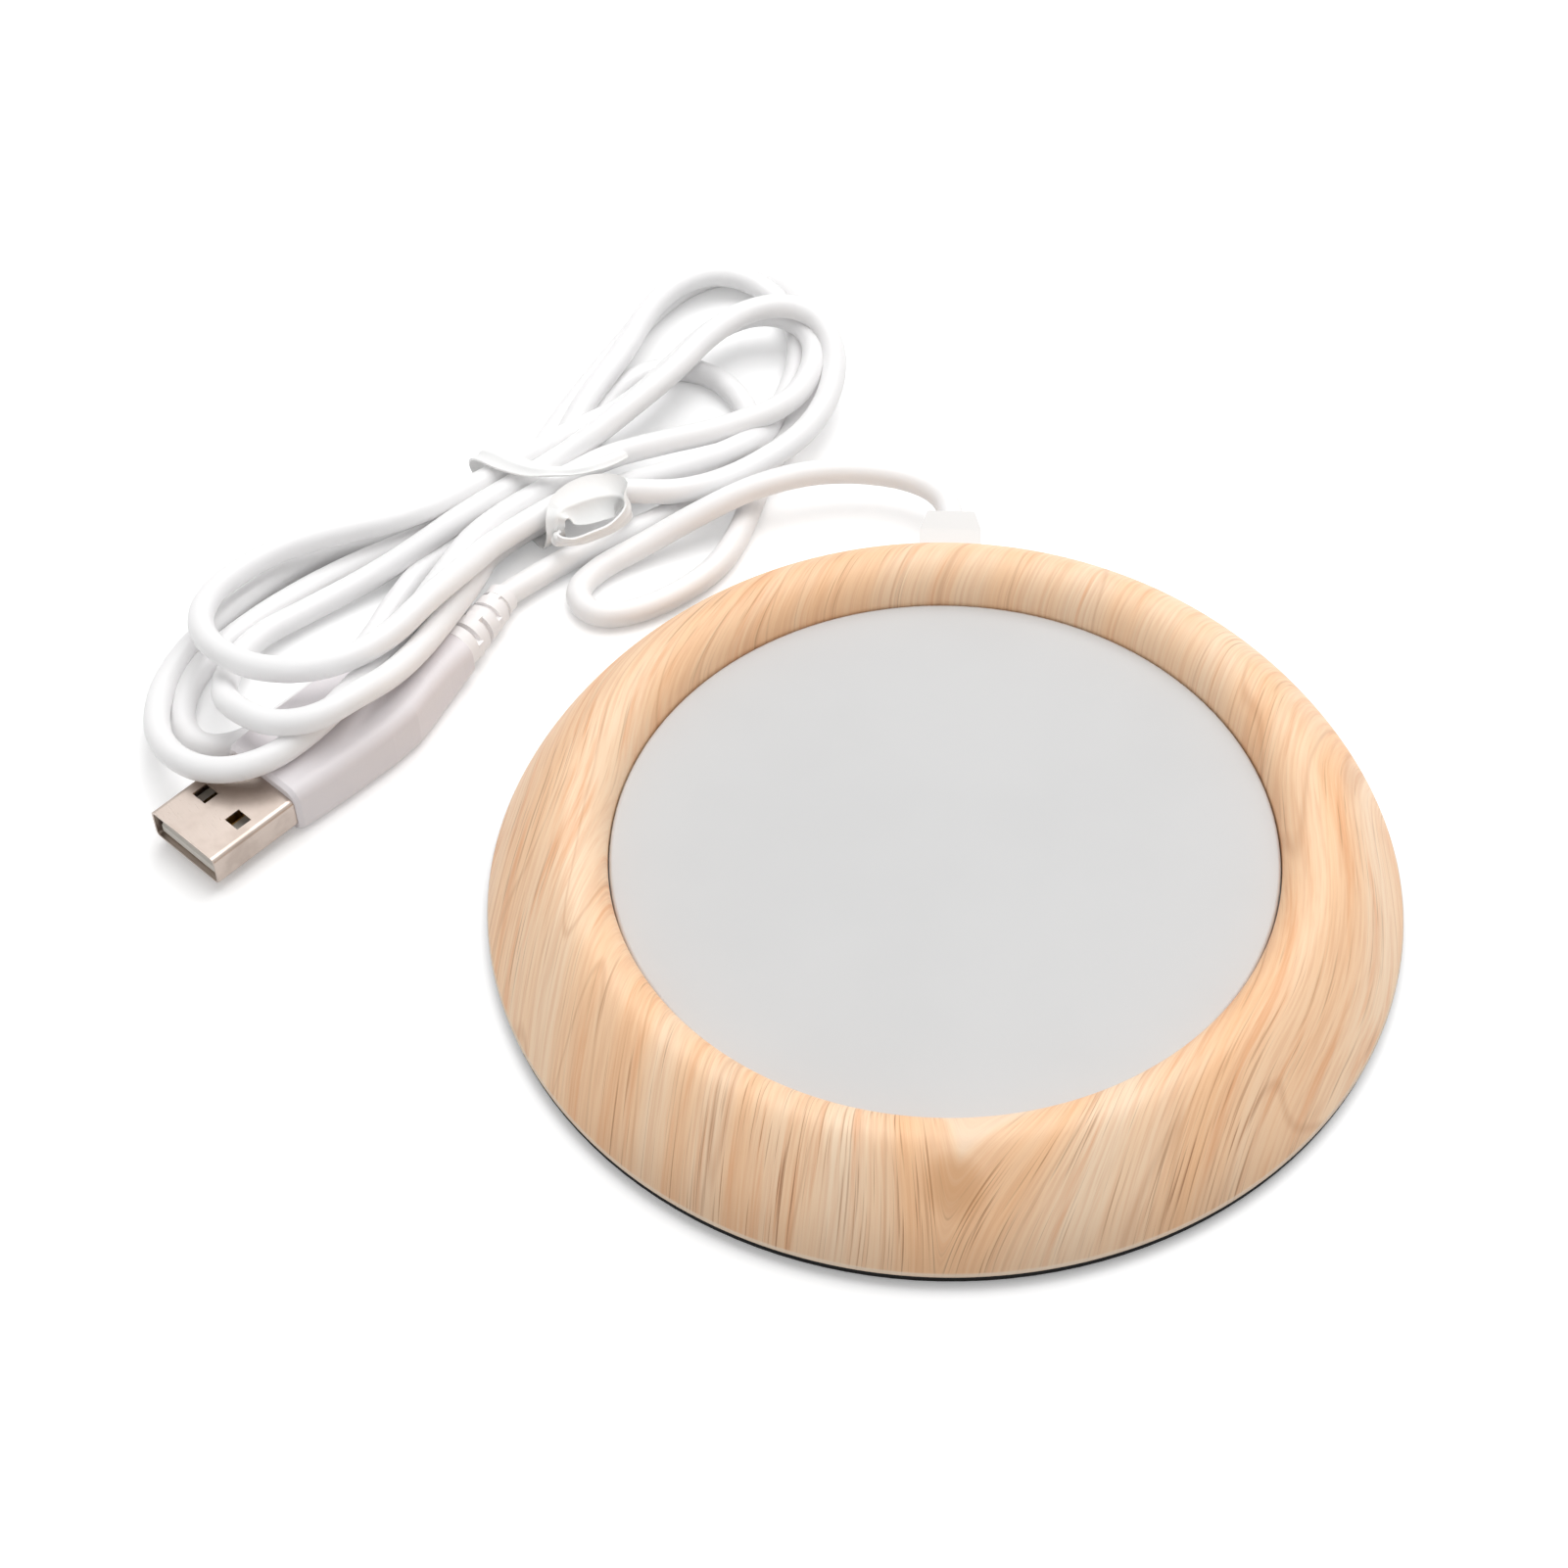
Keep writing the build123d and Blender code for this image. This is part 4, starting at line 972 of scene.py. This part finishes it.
class WARMER_OT_plug(bpy.types.Operator):
    """Finish the plug and make its slotted sleeve"""

    bl_idname = "warmer.plug"
    bl_label = "Plug"

    def execute(self, context):
        plug = context.scene.warmer_plug
        dress("plug_overmould", moulded("grip_white", tuple(plug.moulding), 0.45, 2600.0, 0.00001))
        sleeve = moulded("sleeve_white", rgb(249, 247, 247), 0.45, 2600.0, 0.00001)
        dress("plug_shell", metal("nickel_plate", tuple(plug.nickel), 0.30, 0.25, PLUG_TURN))
        dress("plug_tongue", moulded("tongue_plastic", rgb(222, 217, 208), 0.5))
        dress("plug_contacts", metal("contact_gold", rgb(226, 184, 108), 0.2, 0.1))
        middle = [(root + tip) / 2 + bow
                  for root, tip, bow in zip(RELIEF_ROOT, RELIEF_TIP, RELIEF_BOW)]
        path = smooth_line("relief_path", [RELIEF_ROOT, middle, RELIEF_TIP])
        mesh = baked("relief_sleeve", relief_tree(), {
            "Rings": plug.relief_rings, "Finish": sleeve}, path)
        make_outward(mesh)
        mesh.set_sharp_from_angle(angle=math.radians(35))
        add_piece("relief_sleeve", mesh, sleeve, "white_moulding", "plug_strain_relief")
        return {"FINISHED"}


# ---------- stage
CAMERA_AIM = (-20.1 * MM, 17.0 * MM, 0.0)
FLOOR_CORNERS = [(-3, -3, 0), (3, -3, 0), (3, 3, 0), (-3, 3, 0)]
WHITE = (1.0, 1.0, 1.0, 1.0)


def add_lamp(name, place, size, power):
    """A square lamp that shines at the frame's origin."""
    light = bpy.data.lights.new(name, "AREA")
    light.shape = "SQUARE"
    light.size = size
    light.energy = power
    lamp = bpy.data.objects.new(name, light)
    lamp.location = place
    lamp.rotation_euler = (-Vector(place)).to_track_quat("-Z", "Y").to_euler()
    bpy.context.scene.collection.objects.link(lamp)


def floor_finish():
    """Pale floor that shows as white and keeps the shadow."""
    material, tree, shader, place = finish_tree("floor_paper", Roughness=0.9)
    path = tree.node("ShaderNodeLightPath")
    seen = tree.calc("MAXIMUM", path.outputs["Is Camera Ray"], path.outputs["Is Glossy Ray"])
    cloud = tree.noise(place, 6.0, 1.0)
    pale = tree.mix(tree.fade(cloud, 0.3, 0.7), rgb(226, 226, 226), rgb(228, 228, 228))
    tree.feed(shader.inputs["Base Color"], tree.mix(seen, pale, WHITE))
    shader.inputs["Emission Color"].default_value = WHITE
    glow = tree.fade(tree.vector("LENGTH", place), 0.30, 0.80, 0.20, 1.0)
    tree.feed(shader.inputs["Emission Strength"], tree.times(seen, glow))
    return material


def white_sky(scene, level):
    """Even light from all round, and plain white wherever the sky itself is seen."""
    world = bpy.data.worlds.new("studio")
    scene.world = world
    world.use_nodes = True
    tree = Tree(world.node_tree)
    light = tree.node("ShaderNodeBackground", {"Color": WHITE, "Strength": level})
    seen = tree.node("ShaderNodeBackground", {"Color": WHITE, "Strength": 1.0})
    path = tree.node("ShaderNodeLightPath")
    shown = tree.calc("MAXIMUM", path.outputs["Is Camera Ray"], tree.calc(
        "MAXIMUM", path.outputs["Is Glossy Ray"], path.outputs["Is Transmission Ray"]))
    mixed = tree.node("ShaderNodeMixShader", {"Fac": shown})
    tree.feed(mixed.inputs[1], light.outputs[0])
    tree.feed(mixed.inputs[2], seen.outputs[0])
    tree.feed(world.node_tree.nodes["World Output"].inputs["Surface"], mixed.outputs[0])


class WARMER_OT_stage(bpy.types.Operator):
    """Set up the camera, the pale floor and the soft light"""

    bl_idname = "warmer.stage"
    bl_label = "Stage"

    def execute(self, context):
        scene = context.scene
        stage = scene.warmer_stage
        scene.view_settings.view_transform = "Standard"
        height, distance = stage.camera_height, stage.camera_distance
        place = Vector((0.0, -distance * math.cos(height), distance * math.sin(height)))
        forward = (Vector(CAMERA_AIM) - place).normalized()
        right = forward.cross(Vector((0.0, 0.0, 1.0))).normalized()
        up = right.cross(forward)
        facing = Matrix((right, up, -forward)).transposed().to_4x4()
        camera = bpy.data.cameras.new("camera")
        camera.lens = stage.lens
        camera.sensor_width = 36.0
        camera.clip_start = 0.01
        holder = bpy.data.objects.new("camera", camera)
        holder.matrix_world = (Matrix.Translation(place) @ facing
                               @ Matrix.Rotation(stage.camera_roll, 4, "Z"))
        scene.collection.objects.link(holder)
        scene.camera = holder

        mesh = bpy.data.meshes.new("floor")
        mesh.from_pydata(FLOOR_CORNERS, [], [(0, 1, 2, 3)])
        mesh.materials.append(floor_finish())
        floor = bpy.data.objects.new("floor", mesh)
        scene.collection.objects.link(floor)

        add_lamp("key_softbox", (0.12, 0.32, 0.85), 0.9, stage.key)
        add_lamp("fill_softbox", (-0.5, -0.6, 0.5), 0.8, stage.key * 0.07)
        white_sky(scene, stage.sky)
        return {"FINISHED"}


# ---------- panel and registration
STEPS = (
    WARMER_OT_stage, WARMER_OT_housing_ring, WARMER_OT_heating_plate, WARMER_OT_heater,
    WARMER_OT_base_cover, WARMER_OT_cord_exit, WARMER_OT_plug, WARMER_OT_twist_tie,
    WARMER_OT_power_cord,
)
SETTINGS = {
    "warmer_ring": WarmerRingSettings, "warmer_cord": WarmerCordSettings,
    "warmer_plug": WarmerPlugSettings, "warmer_body": WarmerBodySettings,
    "warmer_stage": WarmerStageSettings,
}


class WARMER_PT_panel(bpy.types.Panel):
    """Lists the warmer's settings and its steps in order"""

    bl_label = "Mug Warmer"
    bl_idname = "WARMER_PT_panel"
    bl_space_type = "VIEW_3D"
    bl_region_type = "UI"
    bl_category = "Mug Warmer"

    def draw(self, context):
        for name, kind in SETTINGS.items():
            box = self.layout.box()
            group = getattr(context.scene, name)
            for field in kind.__annotations__:
                box.prop(group, field)
        for step in STEPS:
            self.layout.operator(step.bl_idname)


def register():
    for name, kind in SETTINGS.items():
        bpy.utils.register_class(kind)
        setattr(bpy.types.Scene, name, PointerProperty(type=kind))
    for kind in (*STEPS, WARMER_PT_panel):
        bpy.utils.register_class(kind)


def unregister():
    for kind in (WARMER_PT_panel, *reversed(STEPS)):
        bpy.utils.unregister_class(kind)
    for name, kind in SETTINGS.items():
        delattr(bpy.types.Scene, name)
        bpy.utils.unregister_class(kind)


def main():
    """Run every step in order."""
    register()
    for step in STEPS:
        group, name = step.bl_idname.split(".")
        getattr(getattr(bpy.ops, group), name)()


if __name__ == "__main__":
    main()
